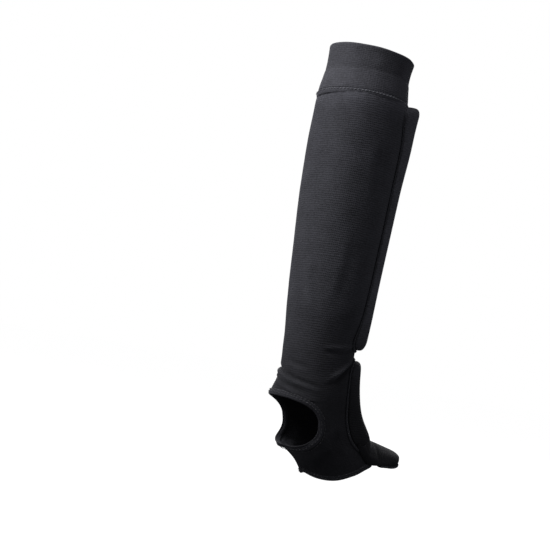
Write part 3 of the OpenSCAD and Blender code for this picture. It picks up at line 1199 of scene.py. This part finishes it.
    def held(self, points: Grid) -> Grid:
        """Which of the cover's points lie on the sleeve.

        Args:
            points: points in millimetres.

        Returns:
            Whether each lies on it, and so doesn't move.
        """
        place = LEG.place_of(points)
        skin = LEG.skin(np.degrees(place[:, 0] / LEG.half_width(place[:, 1])), place[:, 1])
        return np.linalg.norm(points - skin, axis=1) < self.lift + 2.4


# ---------------------------------------------------------------- the sleeve


@dataclass(frozen=True)
class KnitSleeve:
    """The knitted tube from the cuff's seam to the foot opening, with the hole for the heel."""

    top: float = 53.5
    thick: float = 1.5
    bulge: float = 3.8
    cut: tuple[float, float] = (0.235, 0.385)
    front_columns: int = 96
    back_columns: int = 60
    row_step: float = 3.0
    fine_from: float = 316
    fine_step: float = 1.5
    bend_start: float = 0.292
    bend_end: float = 0.374
    slack_above: float = 0.35
    slack_from: float = 300
    slack_over: float = 60
    pressed_angle: float = 62
    pressed_depth: float = 426
    bulge_long: float = 17
    worn_share: float = 0.35
    waves: tuple[Ripple, ...] = (Ripple(0.9, 42, 1.7), Ripple(0.35, 15, 5.1))
    gathers: float = 31
    gather_high: float = 0.35
    gather_long: float = 7.0
    uneven: Ripple = Ripple(2.5, 25, 9.0)
    creases: tuple[Crease, ...] = (
        # Folds over the tendon, above the heel.
        Crease((256, 344), (98, 369), 3.1, 2.1, bow=2.5),
        Crease((216, 360), (118, 376), 2.1, 1.8, bow=2),
        Crease((186, 341), (128, 349), 1.1, 2.6, bow=2),
        Crease((-150, 350), (-108, 360), 1.95, 2.3, bow=3),
        Crease((-160, 366), (-112, 372), 1.65, 2.0, bow=2),
        # The turned edge above the heel hole shows through.
        Crease((100, 384), (178, 371), 1.05, 1.6, bow=-5, ridge=1.0),
        Crease((-100, 384), (-178, 371), 1.05, 1.6, bow=5, ridge=1.0),
        # Creases that run back from the notch between the two pads.
        Crease((44, 331), (98, 361), 2.8, 2.4, bow=-2),
        Crease((48, 333), (104, 366), 2.25, 2.2, bow=-2),
        Crease((50, 321), (118, 330), 1.95, 2.4, bow=-2),
        Crease((-44, 328), (-118, 346), 2.55, 2.5, bow=3),
        Crease((-50, 334), (-100, 364), 1.95, 2.2, bow=2),
        Crease((-50, 322), (-112, 332), 1.65, 2.3, bow=2),
        # Long soft pulls down the calf.
        Crease((150, 230), (128, 300), 0.75, 5.0, bow=4),
        Crease((100, 200), (112, 290), 0.68, 6.0, bow=-4),
        Crease((-140, 120), (-118, 200), 0.75, 6.0, bow=4),
        Crease((84, 96), (76, 170), 0.68, 6.0, bow=3),
        # Pulls across the band under the foot.
        Crease((96, 430), (150, 452), 1.65, 2.6, bow=3),
        Crease((-96, 432), (-150, 450), 1.5, 2.6, bow=-3),
        Crease((70, 408), (98, 440), 1.35, 3.0, bow=2),
        Crease((-70, 410), (-98, 438), 1.35, 3.0, bow=-2),
    )

    def grid(self) -> tuple[Grid, Grid, Grid]:
        """The sleeve's grid, which is finer at the ankle and open at the heel.

        Returns:
            (angles, depths, which cells exist).
        """
        heel = HEEL_OPENING
        edge = float(heel.angle(np.array(heel.cut)))
        end = heel.top - 3
        calf = np.linspace(self.top, self.fine_from, round((self.fine_from - self.top) / self.row_step))
        ankle = np.linspace(self.fine_from, end, round((end - self.fine_from) / self.fine_step))
        upper = np.concatenate([calf, ankle[1:]])
        shares = heel.cut * np.sin(np.radians(np.linspace(-90, 90, 31)))
        rows = [(edge, d, 0.0) for d in upper]
        rows += [(float(heel.angle(s)), float(heel.depth(s)), float(clamp(s) ** 2 * heel.spread))
                 for s in shares]
        rows += [(edge, float(heel.depth(heel.cut)), s) for s in np.linspace(heel.spread, 1, 12)[1:]]
        angles, depths = [], []
        for side, depth, spread in rows:
            front = np.linspace(-side, side, self.front_columns + 1)
            back = np.linspace(side, 360 - side, self.back_columns + 1)[1:-1]
            angle = np.concatenate([front, back])
            angles.append(angle)
            depths.append(heel.spread_depth(angle, np.full(len(angle), depth), spread))
        present = np.ones((len(rows) - 1, self.front_columns + self.back_columns), bool)
        first = len(upper)
        present[first : first + len(shares) - 1, self.front_columns :] = False
        return np.array(angles), np.array(depths), present

    def relief(self, angle: Grid, depth: Grid) -> Grid:
        """Height of the folds and waves in the cloth.

        Args:
            angle: angles round the leg.
            depth: depths below the cuff's mouth.

        Returns:
            Heights in millimetres.
        """
        turned = np.mod(angle + 180, 360) - 180
        reach = LEG.half_width(depth)
        height = np.zeros_like(depth)
        for crease in self.creases:
            for lap in (-360, 0, 360):
                height += crease.height(turned + lap, depth, reach)
        place = LEG.skin(angle, depth)
        # It is stretched tight over the calf and slack over the ankle.
        slack = ease((depth - self.slack_from) / self.slack_over)
        slack = self.slack_above + (1 - self.slack_above) * slack
        height += slack * sum(wave.at(place) for wave in self.waves)
        # The cloth is gathered where it joins the cuff.
        phase = np.radians(turned) * self.gathers + self.uneven.at(place)
        height += self.gather_high * np.exp(-((depth - self.top) / self.gather_long)) * np.sin(phase)
        # Under the pads it is pressed flat.
        pressed = ease((self.pressed_angle - np.abs(turned)) / 10)
        pressed = pressed * ease((self.pressed_depth - depth) / 8)
        # It stands out below the cuff, as far down as the shin pad's end in front.
        below = np.maximum(depth - self.top - 2, 0)
        bulge = self.bulge * np.exp(-((below / self.bulge_long) ** 2)) * (1 - pressed * ease(below / 4))
        bulge = bulge * (0.7 - 0.3 * np.cos(2 * np.radians(turned)))
        return height * (1 - pressed) + bulge

    def build(self, finishes: Wardrobe) -> None:
        """Makes the sleeve.

        Args:
            finishes: the materials.
        """
        angle, depth, present = self.grid()
        relief = self.relief(angle, depth)
        outer = LEG.above(angle, depth, self.thick + relief)
        inner = LEG.above(angle, depth, np.minimum(relief, 0) * 0.7 + np.maximum(relief - 1.0, 0))
        arc = np.radians(angle) * LEG.half_width(depth)
        steps = np.linalg.norm(np.diff(outer, axis=0), axis=-1)
        run = self.top + np.concatenate([np.zeros((1, angle.shape[1])), np.cumsum(steps, axis=0)])
        cloth = np.stack([arc, run, clamp(relief * self.worn_share)], axis=-1)
        sleeve = MeshMaker.shell("knit_sleeve", outer, inner, True, cloth, present)
        MeshMaker.smoothed(sleeve)
        dress(sleeve, finishes.sleeve)
        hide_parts("calf_sleeve", "ankle_knit", "foot_sleeve")
        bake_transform(sleeve)
        LOG.info("%s: %d faces, blended over the ankle", sleeve.name, len(sleeve.data.polygons))


# ---------------------------------------------------------------- the cuff


@dataclass(frozen=True)
class Cuff:
    """The doubled rib-knit cuff with its hidden tape, and the rolled seam below it.

    It is flared by flare at its mouth, and steps out by step at the share step_at of its height, from
    where it spreads by spread. Its mouth is drawn in by pinch, moved by shift towards lean, and lower
    by twice tilt towards tilt_toward.
    """

    columns: int = 120
    cut: tuple[float, float] = (0.26, 0.108)
    tape_cut: tuple[float, float] = (0.23, 0.03)
    ply: float = 1.2
    tape_thick: float = 0.8
    flare: float = 1.3
    spread: float = 2.3
    step_at: float = 0.52
    step: float = 0.7
    tilt: float = 3.5
    tilt_toward: float = 60
    lean: float = 30
    oval: float = 0.7
    shift: float = 2.6
    pinch: float = 0.9
    waves: tuple[Ripple, ...] = (Ripple(0.6, 26, 2.2), Ripple(0.15, 9, 6.4))
    flutes: float = 0.45
    seam_out: float = 2.1
    seam_half_high: float = 3.3
    seam_half_thick: float = 1.6
    stitches_out: float = 3.7
    mouth_waves: Ripple = Ripple(0.5, 30, 11.0)
    seam_waves: Ripple = Ripple(0.5, 30, 8.0)
    puckers: Ripple = Ripple(0.5, 16, 4.0)

    def build(self, finishes: Wardrobe) -> None:
        """Makes the cuff, its tape, the rolled seam and its stitches.

        Args:
            finishes: the materials.
        """
        low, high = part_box("cuff_band")
        outer_r, height, rim = high[0] / MM, -low[2] / MM, high[2] / MM
        inner_r = outer_r - 2 * rim
        middle_r, small = inner_r + rim, rim - self.ply
        down = np.linspace(-height, 0, 26)
        fold = np.radians(np.linspace(0, 180, 13))[1:-1]
        flat = 0 * down
        radius = np.concatenate([flat + outer_r, middle_r + rim * np.cos(fold), flat + inner_r])
        level = np.concatenate([down, rim * np.sin(fold), down[::-1]])
        inside_r = np.concatenate([flat + outer_r - self.ply, middle_r + small * np.cos(fold),
                                   flat + inner_r + self.ply])
        inside_z = np.concatenate([down, small * np.sin(fold), down[::-1]])
        turn = np.linspace(0, 360, self.columns, endpoint=False)
        skin = self.shaped(radius, level, turn, height)
        core = self.shaped(inside_r, inside_z, turn, height)
        run = np.concatenate([[0], np.cumsum(np.hypot(np.diff(radius), np.diff(level)))])
        arc = np.radians(turn) * outer_r
        # It is rubbed along its mouth and below the step.
        worn = 0.6 * np.exp(-(((level - rim) / 2.0) ** 2))
        worn = worn + 0.3 * ease((-level / height - self.step_at) / 0.06)
        cloth = np.stack(np.broadcast_arrays(arc[None, :], run[:, None], worn[:, None]), axis=-1)
        band = MeshMaker.shell("cuff", skin[::-1], core[::-1], True, cloth[::-1])
        MeshMaker.smoothed(band)
        fasten(band, finishes.cuff, "sleeve_knit", Body.SHIN, "cuff_band")
        self.build_tape(finishes, turn, height)
        self.build_seam(finishes, outer_r, turn)

    def shaped(self, radius: Grid, level: Grid, turn: Grid, height: float) -> Grid:
        """Rings of the cuff: flared at its mouth and towards the seam, oval, uneven, lower in front.

        Args:
            radius: radius of each ring.
            level: height of each ring.
            turn: angles round the leg.
            height: the cuff's height.

        Returns:
            Rows of points, in millimetres.
        """
        share = clamp(-level / height)
        outer = ease((radius - 43.5) / 1.5)
        bell = self.flare * (1 - clamp(share / 0.35)) ** 2 - self.pinch * (1 - share)
        below = share - self.step_at
        bell = bell + outer * (self.spread * ease(below / 0.5) + self.step * ease(below / 0.05))
        angle, lean = np.radians(turn), math.radians(self.lean)
        round_way = np.stack([np.sin(angle), np.cos(angle)], axis=-1)
        spots = np.broadcast_arrays(*(45 * round_way.T)[:, None], level[:, None])
        place = np.stack(spots, axis=-1)
        change = bell[:, None] + self.oval * np.cos(2 * angle)[None, :] * 0.5
        for wave in self.waves:
            change = change + wave.at(place)
        flutes = np.cos(7 * angle + 0.6) * np.cos(2 * angle + 1.0)
        change = change + self.flutes * flutes[None, :]
        flat = (radius[:, None] + change)[..., None] * round_way[None]
        moved = self.shift * (1 - share) ** 1.2
        flat = flat + moved[:, None, None] * np.array([math.sin(lean), math.cos(lean)])
        tipped = self.tilt * (1 + np.cos(angle - math.radians(self.tilt_toward)))
        drop = tipped[None, :] * (1 - share)[:, None] ** 1.3
        drop = drop + self.mouth_waves.at(place * [1, 1, 0]) * (1 - share)[:, None]
        return np.concatenate([flat, (level[:, None] - drop)[..., None]], axis=-1)

    def build_tape(self, finishes: Wardrobe, turn: Grid, height: float) -> None:
        """Makes the tape hidden between the cuff's two plies.

        Args:
            finishes: the materials.
            turn: angles round the leg.
            height: the cuff's height.
        """
        low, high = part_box("cuff_elastic")
        outer_r = high[0] / MM
        level = np.linspace(high[2] / MM, low[2] / MM, 16)
        skin = self.shaped(0 * level + outer_r, level, turn, height)
        core = self.shaped(0 * level + outer_r - self.tape_thick, level, turn, height)
        arc = np.radians(turn) * outer_r
        cloth = np.stack(np.broadcast_arrays(arc[None, :], level[:, None], 0.0), axis=-1)
        tape = MeshMaker.shell("cuff_tape", skin, core, True, cloth)
        fasten(tape, finishes.elastic, "elastic_tape", Body.SHIN, "cuff_elastic")

    def build_seam(self, finishes: Wardrobe, outer_r: float, turn: Grid) -> None:
        """Makes the roll of the sleeve's top edge round the cuff, and the stitches over it.

        Args:
            finishes: the materials.
            outer_r: the cuff's outer radius.
            turn: angles round the leg.
        """
        angle = np.radians(turn)
        ring = np.stack([np.sin(angle), np.cos(angle), 0 * angle], axis=-1)
        pucker = 0.3 * (0.25 * np.sin(37 * angle) + self.puckers.at(ring * 45))
        wander = self.seam_waves.at(ring * 45)
        low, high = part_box("cuff_seam_roll")
        middle = (low[2] + high[2]) / 2 / MM
        path = ring * (outer_r + self.seam_out + pucker)[:, None] + np.array([0, 0, middle - 0.4])
        path[:, 2] += wander
        roll = MeshMaker.swept("cuff_seam", path, ring, self.seam_half_high + pucker,
                               self.seam_half_thick + pucker, 16)
        MeshMaker.smoothed(roll)
        fasten(roll, finishes.sleeve, "seam_knit", Body.SHIN, "cuff_seam_roll")
        path = ring * (outer_r + self.stitches_out) + np.array([0, 0, middle + 1.0])
        path[:, 2] += wander
        sewn = StitchRow(length=2.6, between=1.4, radius=0.42).lay("cuff_seam_stitches", path, ring)
        fasten(sewn, finishes.seam_thread, "sewing_thread", Body.SHIN, "cuff_seam_thread")


# ---------------------------------------------------------------- hems


@dataclass(frozen=True)
class TurnedHem:
    """An edge of the sleeve turned under and sewn down with two rows of stitches."""

    name: str
    half_wide: float
    half_high: float
    rows: tuple[float, ...]
    lift: float = 0.9
    overhang: float = 1.2
    uneven: Ripple = Ripple(0.25, 14, 7.0)

    def build(self, finishes: Wardrobe, rim: Callable[[float], tuple[Grid, Grid]]) -> None:
        """Makes the hem and its stitches.

        Args:
            finishes: the materials.
            rim: given how far out on the sleeve, gives the edge's path at a height: (angle, depth).
        """
        angle, depth = rim(self.half_wide - self.overhang)
        swell = self.half_high + self.uneven.at(LEG.skin(angle, depth))
        path, up = LEG.above(angle, depth, self.lift), LEG.outward(angle, depth)
        path, up = MeshMaker.evenly(path, up, 2.2)
        thick = np.interp(np.linspace(0, 1, len(path)), np.linspace(0, 1, len(swell)), swell)
        band = MeshMaker.swept(f"{self.name}_band", path, up, self.half_wide, thick, 14)
        MeshMaker.smoothed(band)
        fasten(band, finishes.hem, "seam_knit", Body.FOOT, self.name)
        row, rows = StitchRow(length=2.6, between=1.2, radius=0.36), []
        for number, out in enumerate(self.rows):
            angle, depth = rim(out)
            path = LEG.above(angle, depth, self.lift + self.half_high * 0.93)
            rows.append(row.lay(f"row_{number}", path, LEG.outward(angle, depth)))
        sewn = MeshMaker.joined(f"{self.name}_stitches", rows)
        fasten(sewn, finishes.thread, "sewing_thread", Body.FOOT, f"{self.name}_stitching")


def heel_rim(out: float) -> tuple[Grid, Grid]:
    """The heel hole's edge, out onto the sleeve by a distance."""
    return HEEL_OPENING.rim(160, -out)


def foot_rim(out: float) -> tuple[Grid, Grid]:
    """The foot opening's edge, up onto the sleeve by a distance."""
    angle = np.linspace(0, 360, 200, endpoint=False)
    return angle, FOOT_OPENING.depth(angle) - out


# ---------------------------------------------------------------- the toe flap


@dataclass(frozen=True)
class ToeFlap:
    """The padded flap over the toes, hinged at the crease below the instep pad.

    It slopes down to its tip by slope degrees, and hangs down at its sides by arch, at its root by
    root_droop more. Its height falls to edge_share over rim at its edges, and by root_thin at its root.
    """

    crease_depth: float = 424
    length: float = 48
    start: float = 5
    half_wide: float = 35
    slope: float = 17
    arch: float = 11
    root_droop: float = 11
    fold_depth: float = 3.4
    lift: float = 2.8
    foam: float = 8.5
    cover: float = 1.2
    rim: float = 9
    edge_share: float = 0.42
    root_thin: float = 0.25
    round_share: float = 0.88
    foam_inset: float = 2.4
    cover_inset: float = 0.4
    lining_inset: float = 1.0
    lining_thick: float = 1.1
    rubbed: Ripple = Ripple(0.25, 22, 3.0)

    @property
    def long(self) -> float:
        """Half of the flap's length beyond its root."""
        return (self.length - self.start) / 2

    @property
    def crease(self) -> Grid:
        """The middle of the crease."""
        return np.array([0, LEG.skin(0.0, self.crease_depth)[1], -self.crease_depth])

    @property
    def run(self) -> Grid:
        """Direction from the crease to the tip."""
        return np.array([0, math.cos(math.radians(self.slope)), -math.sin(math.radians(self.slope))])

    @property
    def up(self) -> Grid:
        """Direction up from the flap."""
        return np.array([0, math.sin(math.radians(self.slope)), math.cos(math.radians(self.slope))])

    def width(self, y: Grid) -> Grid:
        """Half of the flap's width: widest near its root, round at its tip.

        Args:
            y: distance beyond the flap's middle.

        Returns:
            Half of the width there.
        """
        t = clamp(y / self.long, -1, 1)
        past, root = clamp((t + 0.1) / 1.1), clamp(-t * 4 - 3)
        return self.half_wide * (0.35 + 0.65 * np.sqrt(1 - past**2)) * (1 - 0.08 * root**2)

    def point(self, share: Grid, y: Grid, grown: float, height: Grid) -> Grid:
        """Points of the flap.

        Args:
            share: share of the way from the middle to the side, from -1 to 1.
            y: distance beyond the flap's middle.
            grown: how far the outline is grown.
            height: height over the flap's underside.

        Returns:
            One point for each, in millimetres.
        """
        share, y, height = np.broadcast_arrays(*(np.asarray(v, float) for v in (share, y, height)))
        reach = (self.half_wide + grown) * self.width(y) / self.half_wide * share
        along = self.start + self.long + y * (1 + grown / self.long) - 3 * share**2 * y / self.long
        rise = height - self.bend(reach, along)
        return (
            self.crease
            + np.stack([reach, 0 * reach, 0 * reach], axis=-1)
            + along[..., None] * self.run
            + rise[..., None] * self.up
        )

    def bend(self, across: Grid, along: Grid) -> Grid:
        """How far the flap hangs down beside its middle line: more at its root than at its tip."""
        root = clamp(1 - (along - self.start) / (2 * self.long)) ** 2
        return (self.arch + self.root_droop * root) * (across / self.half_wide) ** 2

    def grid(self, grown: float, low: float, thick: float) -> Grid:
        """Points over the flap.

        Args:
            grown: how far the outline is grown.
            low: height at the rim's foot.
            thick: thickness at the middle.

        Returns:
            Rows of columns of points, in millimetres.
        """
        shares = pad_marks(1, self.rim / self.half_wide, 11)[None, :]
        y = pad_marks(self.long, self.rim, 9)[:, None]
        inside = np.minimum(self.width(y) * (1 - np.abs(shares)), self.long - np.abs(y))
        share = 1 - (1 - self.edge_share) * rounded(1 - clamp(inside / self.rim))
        share = share * (1 - self.root_thin * clamp((1 - y / self.long) / 2))
        return self.point(shares, y, grown, low + thick * share)

    def edge_path(
        self, down: Grid, grown: float, height: float, closed: bool, step: float = 2.0
    ) -> tuple[Grid, Grid]:
        """A path round the flap's edge.

        Args:
            down: distances beyond the flap's middle of its points along the sides.
            grown: how far it lies outside the flap.
            height: its height over the flap's underside.
            closed: whether it also crosses the flap's root.
            step: roughly the distance between its points.

        Returns:
            (points, directions up from the flap at them).
        """
        across = np.linspace(-1, 1, 25)
        share = np.concatenate([0 * down + 1, across[::-1], 0 * down - 1])
        beyond = np.concatenate([down, 0 * across + self.long, down[::-1]])
        if closed:
            share = np.concatenate([across, share])
            beyond = np.concatenate([0 * across - self.long, beyond])
        path = self.point(share, beyond, grown, height)
        return MeshMaker.evenly(path, np.broadcast_to(self.up, path.shape).copy(), step, closed)

    def measured(self, points: Grid, worn: float = 0.0) -> Grid:
        """The cloth's measure on points of the flap.

        Args:
            points: points in millimetres.
            worn: how worn the cloth is.

        Returns:
            For each point, millimetres across and along the cloth, and how worn it is.
        """
        away = points - self.crease
        parts = [away[..., 0], self.crease_depth + away @ self.run, 0 * away[..., 0] + worn]
        return np.stack(parts, axis=-1)

    def build(self, finishes: Wardrobe, puff: Inflation, instep: FoamPad) -> None:
        """Makes the flap's foam, cover, lining, crease, bound edge and stitches.

        Args:
            finishes: the materials.
            puff: how the cover is puffed up.
            instep: the pad that the flap hinges from.
        """
        body = Body.TOE_FLAP
        slab = self.grid(-self.foam_inset, self.lift + 0.2, self.foam - 0.8)
        base = self.grid(-self.foam_inset, self.lift + 0.2, 0)
        foam = MeshMaker.shell("toe_flap_foam_slab", slab, base, False, self.measured(slab))
        fasten(foam, finishes.foam, "pad_foam", body, "toe_flap_foam", fill=1.0)

        # The cover starts a little thin, as it swells.
        skin = self.grid(-self.cover_inset, self.lift + 0.5, self.foam + self.cover - 0.5)
        under = self.grid(-self.cover_inset, self.lift, 0)
        cover = MeshMaker.shell("toe_flap_pad", skin, under, False, self.measured(skin))
        puff.run(cover, self.held)
        MeshMaker.smoothed(cover)
        points = MeshMaker.places(cover.data)
        cloth = self.measured(points)
        cloth[:, 2] = np.maximum(0, self.rubbed.at(points))
        MeshMaker.mark(cover.data, cloth)
        fasten(cover, finishes.pad, "pad_cloth", body, "toe_flap_cover", fill=0.85)

        self.build_lining(finishes)
        self.build_crease(finishes, instep)
        sides = np.linspace(6.5 - self.long, self.long, 24)[:-1]
        path, up = self.edge_path(sides, -0.5, self.lift + 0.5, closed=False)
        edge = MeshMaker.swept("toe_flap_edge", path, up, 1.3, 1.1, 12, closed=False)
        fasten(edge, finishes.hem, "seam_knit", body)
        sides = pad_marks(self.long, self.rim, 12)[1:-1]
        path, up = self.edge_path(sides, -2.0, self.lift - 1.35, closed=True, step=1.0)
        sewn = StitchRow().lay("toe_flap_stitches", path, -up)
        fasten(sewn, finishes.thread, "sewing_thread", body, "toe_flap_stitching")

    def held(self, points: Grid) -> Grid:
        """Which points lie on the lining, and so don't move."""
        away = points - self.crease
        return away @ self.up + self.bend(away[:, 0], away @ self.run) < self.lift + 1.6

    def build_lining(self, finishes: Wardrobe) -> None:
        """Makes the lining under the flap.

        Args:
            finishes: the materials.
        """
        shares = np.linspace(-1, 1, 27)[None, :]
        y = np.linspace(-self.long, self.long, 34)[:, None]
        top = self.point(shares, y, -self.lining_inset, self.lift - 0.25)
        low = top - self.lining_thick * self.up
        lining = MeshMaker.shell("toe_flap_underside", top, low, False, self.measured(top))
        MeshMaker.smoothed(lining)
        fasten(lining, finishes.sleeve, "sleeve_knit", Body.TOE_FLAP, "toe_flap_lining")

    def build_crease(self, finishes: Wardrobe, pad: FoamPad) -> None:
        """Makes the folded cloth that joins the instep pad to the flap.

        Args:
            finishes: the materials.
            pad: the instep pad.
        """
        u = np.linspace(-1, 1, 33)[None, :]
        v = np.linspace(0, 1, 15)[:, None]
        reach = pad.half_bottom * u
        past = clamp((np.abs(reach) - pad.half_bottom + pad.corner) / pad.corner)
        back = pad.long - 5 - pad.corner * rounded(past)
        depth = (pad.top + pad.bottom) / 2 + back + pad.drop * u**2
        angle = np.degrees(reach / LEG.half_width(depth))
        full = self.foam + self.cover - 1.5
        wing = np.abs(u) ** 3
        rear_top = LEG.above(angle, depth + 6 * wing, self.lift + full * (1 - 0.55 * wing))
        rear_low = LEG.above(angle, depth + 13 * wing, 1.7 + 0 * u)
        root = -self.long + 3.5
        flap_top = self.point(u, root, -0.6, self.lift + full * (1 - self.root_thin) - 2.6 * u**4)
        flap_low = self.point(u, root, -0.6, self.lift - 0.3)
        share = v[..., None]
        # It dips into a fold half way, swells a little beside it, and sags at its ends.
        dip = self.fold_depth * np.exp(-(((v - 0.52) / 0.2) ** 2)) * (1 - 0.5 * u**2)
        puff = 0.9 * np.sin(math.pi * v) * (1 - u**2)
        sag = 6.5 * wing * np.sin(math.pi * v)
        top = rear_top * (1 - share) + flap_top * share + (puff - dip)[..., None] * self.up
        low = rear_low * (1 - share) + flap_low * share - sag[..., None] * self.up
        fold = MeshMaker.shell("toe_crease", top, low, False, self.measured(top, 0.1))
        MeshMaker.smoothed(fold)
        dress(fold, finishes.pad)
        self.at(-5)
        self.at(7)
        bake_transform(fold)
        LOG.info("%s: %d faces, blended over the flap's hinge", fold.name, len(fold.data.polygons))

    def at(self, along: float) -> tuple[float, float, float]:
        """A place along the flap's middle line, in metres."""
        return tuple((self.crease + along * self.run) * MM)


# ---------------------------------------------------------------- studio


def direction(azimuth: float, elevation: float) -> Vector:
    """Direction from the guard to a place round it, at two angles in degrees."""
    a, e = math.radians(azimuth), math.radians(elevation)
    return Vector((math.sin(a) * math.cos(e), -math.cos(a) * math.cos(e), math.sin(e)))


@dataclass(frozen=True)
class Lamp:
    """A soft square lamp, aimed at the guard's upper part."""

    name: str
    azimuth: float
    elevation: float
    far: float
    size: float
    power: float
    tone: str = "#ffffff"
    aim: tuple[float, float, float] = (0, 0, -0.16)

    def build(self) -> None:
        """Makes the lamp."""
        data = bpy.data.lights.new(self.name, "AREA")
        data.size, data.energy, data.color = self.size, self.power, linear(self.tone)[:3]
        lamp = bpy.data.objects.new(self.name, data)
        away = direction(self.azimuth, self.elevation)
        lamp.location = Vector(self.aim) + away * self.far
        lamp.rotation_euler = away.to_track_quat("Z", "Y").to_euler()
        bpy.context.scene.collection.objects.link(lamp)


@dataclass(frozen=True)
class Studio:
    """Floor, lamps, room and camera."""

    azimuth: float = 60
    elevation: float = -4
    roll: float = 9.6
    distance: float = 1.2
    aim: tuple[float, float, float] = (-0.0311, -0.0539, -0.257)
    view_width: float = 0.594
    sensor_width: float = 36
    floor_drop: float = 6
    floor_radius: float = 9000
    seen: str = "#ffffff"
    fill: str = "#eef0f6"
    fill_power: float = 0.14
    lamps: tuple[Lamp, ...] = (
        Lamp("key", -2, 32, 0.9, 0.5, 10.5),
        Lamp("side", 118, 10, 1.3, 0.5, 1.1, "#f6f7ff"),
        Lamp("top", 40, 80, 0.9, 0.6, 1.6),
        Lamp("front", 238, 22, 1.1, 0.8, 14.0),
    )

    def build(self) -> None:
        """Makes the studio."""
        bpy.context.scene.view_settings.view_transform = "Standard"
        self.build_floor()
        self.build_camera()
        for lamp in self.lamps:
            lamp.build()
        self.build_room()
        LOG.info("studio: floor, camera, %d lamps and room", len(self.lamps))

    def build_floor(self) -> None:
        """Lays a round of white paper under the guard."""
        level = CAD_BOX[0][2] / MM - self.floor_drop
        turn = np.linspace(0, 2 * math.pi, 96, endpoint=False)
        across, ahead = self.floor_radius * np.cos(turn), self.floor_radius * np.sin(turn)
        rim = np.stack([across, ahead, 0 * turn + level], axis=1)
        floor = MeshMaker.from_faces("floor", rim, [list(range(len(rim)))])
        floor.data.materials.append(PaperFinish().build())
        floor.visible_diffuse = False
        floor.visible_glossy = False

    def build_camera(self) -> None:
        """Makes the camera, tipped so that the guard leans."""
        data = bpy.data.cameras.new("camera")
        data.sensor_width = self.sensor_width
        data.lens = self.sensor_width * self.distance / self.view_width
        camera = bpy.data.objects.new("camera", data)
        back = direction(self.azimuth, self.elevation)
        turned = back.to_track_quat("Z", "Y").to_matrix().to_4x4()
        tip = Matrix.Rotation(math.radians(self.roll), 4, "Z")
        camera.matrix_world = Matrix.Translation(Vector(self.aim) + back * self.distance) @ turned @ tip
        bpy.context.scene.collection.objects.link(camera)
        bpy.context.scene.camera = camera

    def build_room(self) -> None:
        """Makes the room: white where the camera sees it, and a weak light from all sides."""
        world = bpy.data.worlds.new("room")
        world.use_nodes = True
        tree = world.node_tree
        tree.nodes.clear()
        seen = add_node(tree, "Background", Color=linear(self.seen), Strength=1.0)
        fill = add_node(tree, "Background", Color=linear(self.fill), Strength=self.fill_power)
        ray = add_node(tree, "LightPath").outputs["Is Camera Ray"]
        both = add_node(tree, "MixShader", _0=ray, _1=fill.outputs[0], _2=seen.outputs[0])
        tree.links.new(both.outputs[0], tree.nodes.new("ShaderNodeOutputWorld").inputs[0])
        bpy.context.scene.world = world


# ---------------------------------------------------------------- the guard


def main() -> None:
    """Builds every piece and the studio."""
    logging.basicConfig(level=logging.INFO, format="%(name)s: %(message)s")
    finishes, puff = Wardrobe.made(), Inflation()
    Studio().build()
    KnitSleeve().build(finishes)
    Cuff().build(finishes)
    shin = FoamPad("shin", Body.SHIN, 57.5, 321, 50, 40, corner=12, tail_rim=13, tail_share=0.4,
                   waist=9, stand=4.5)
    shin.build(finishes, puff)
    instep = FoamPad("instep", Body.FOOT, 335, 417, 31, 36, drop=15)
    instep.build(finishes, puff)
    ToeFlap().build(finishes, puff, instep)
    TurnedHem("heel_hem", 3.6, 1.7, (1.9, 4.2)).build(finishes, heel_rim)
    TurnedHem("foot_hem", 3.4, 1.6, (1.7, 3.9)).build(finishes, foot_rim)


if __name__ == "__main__":
    main()
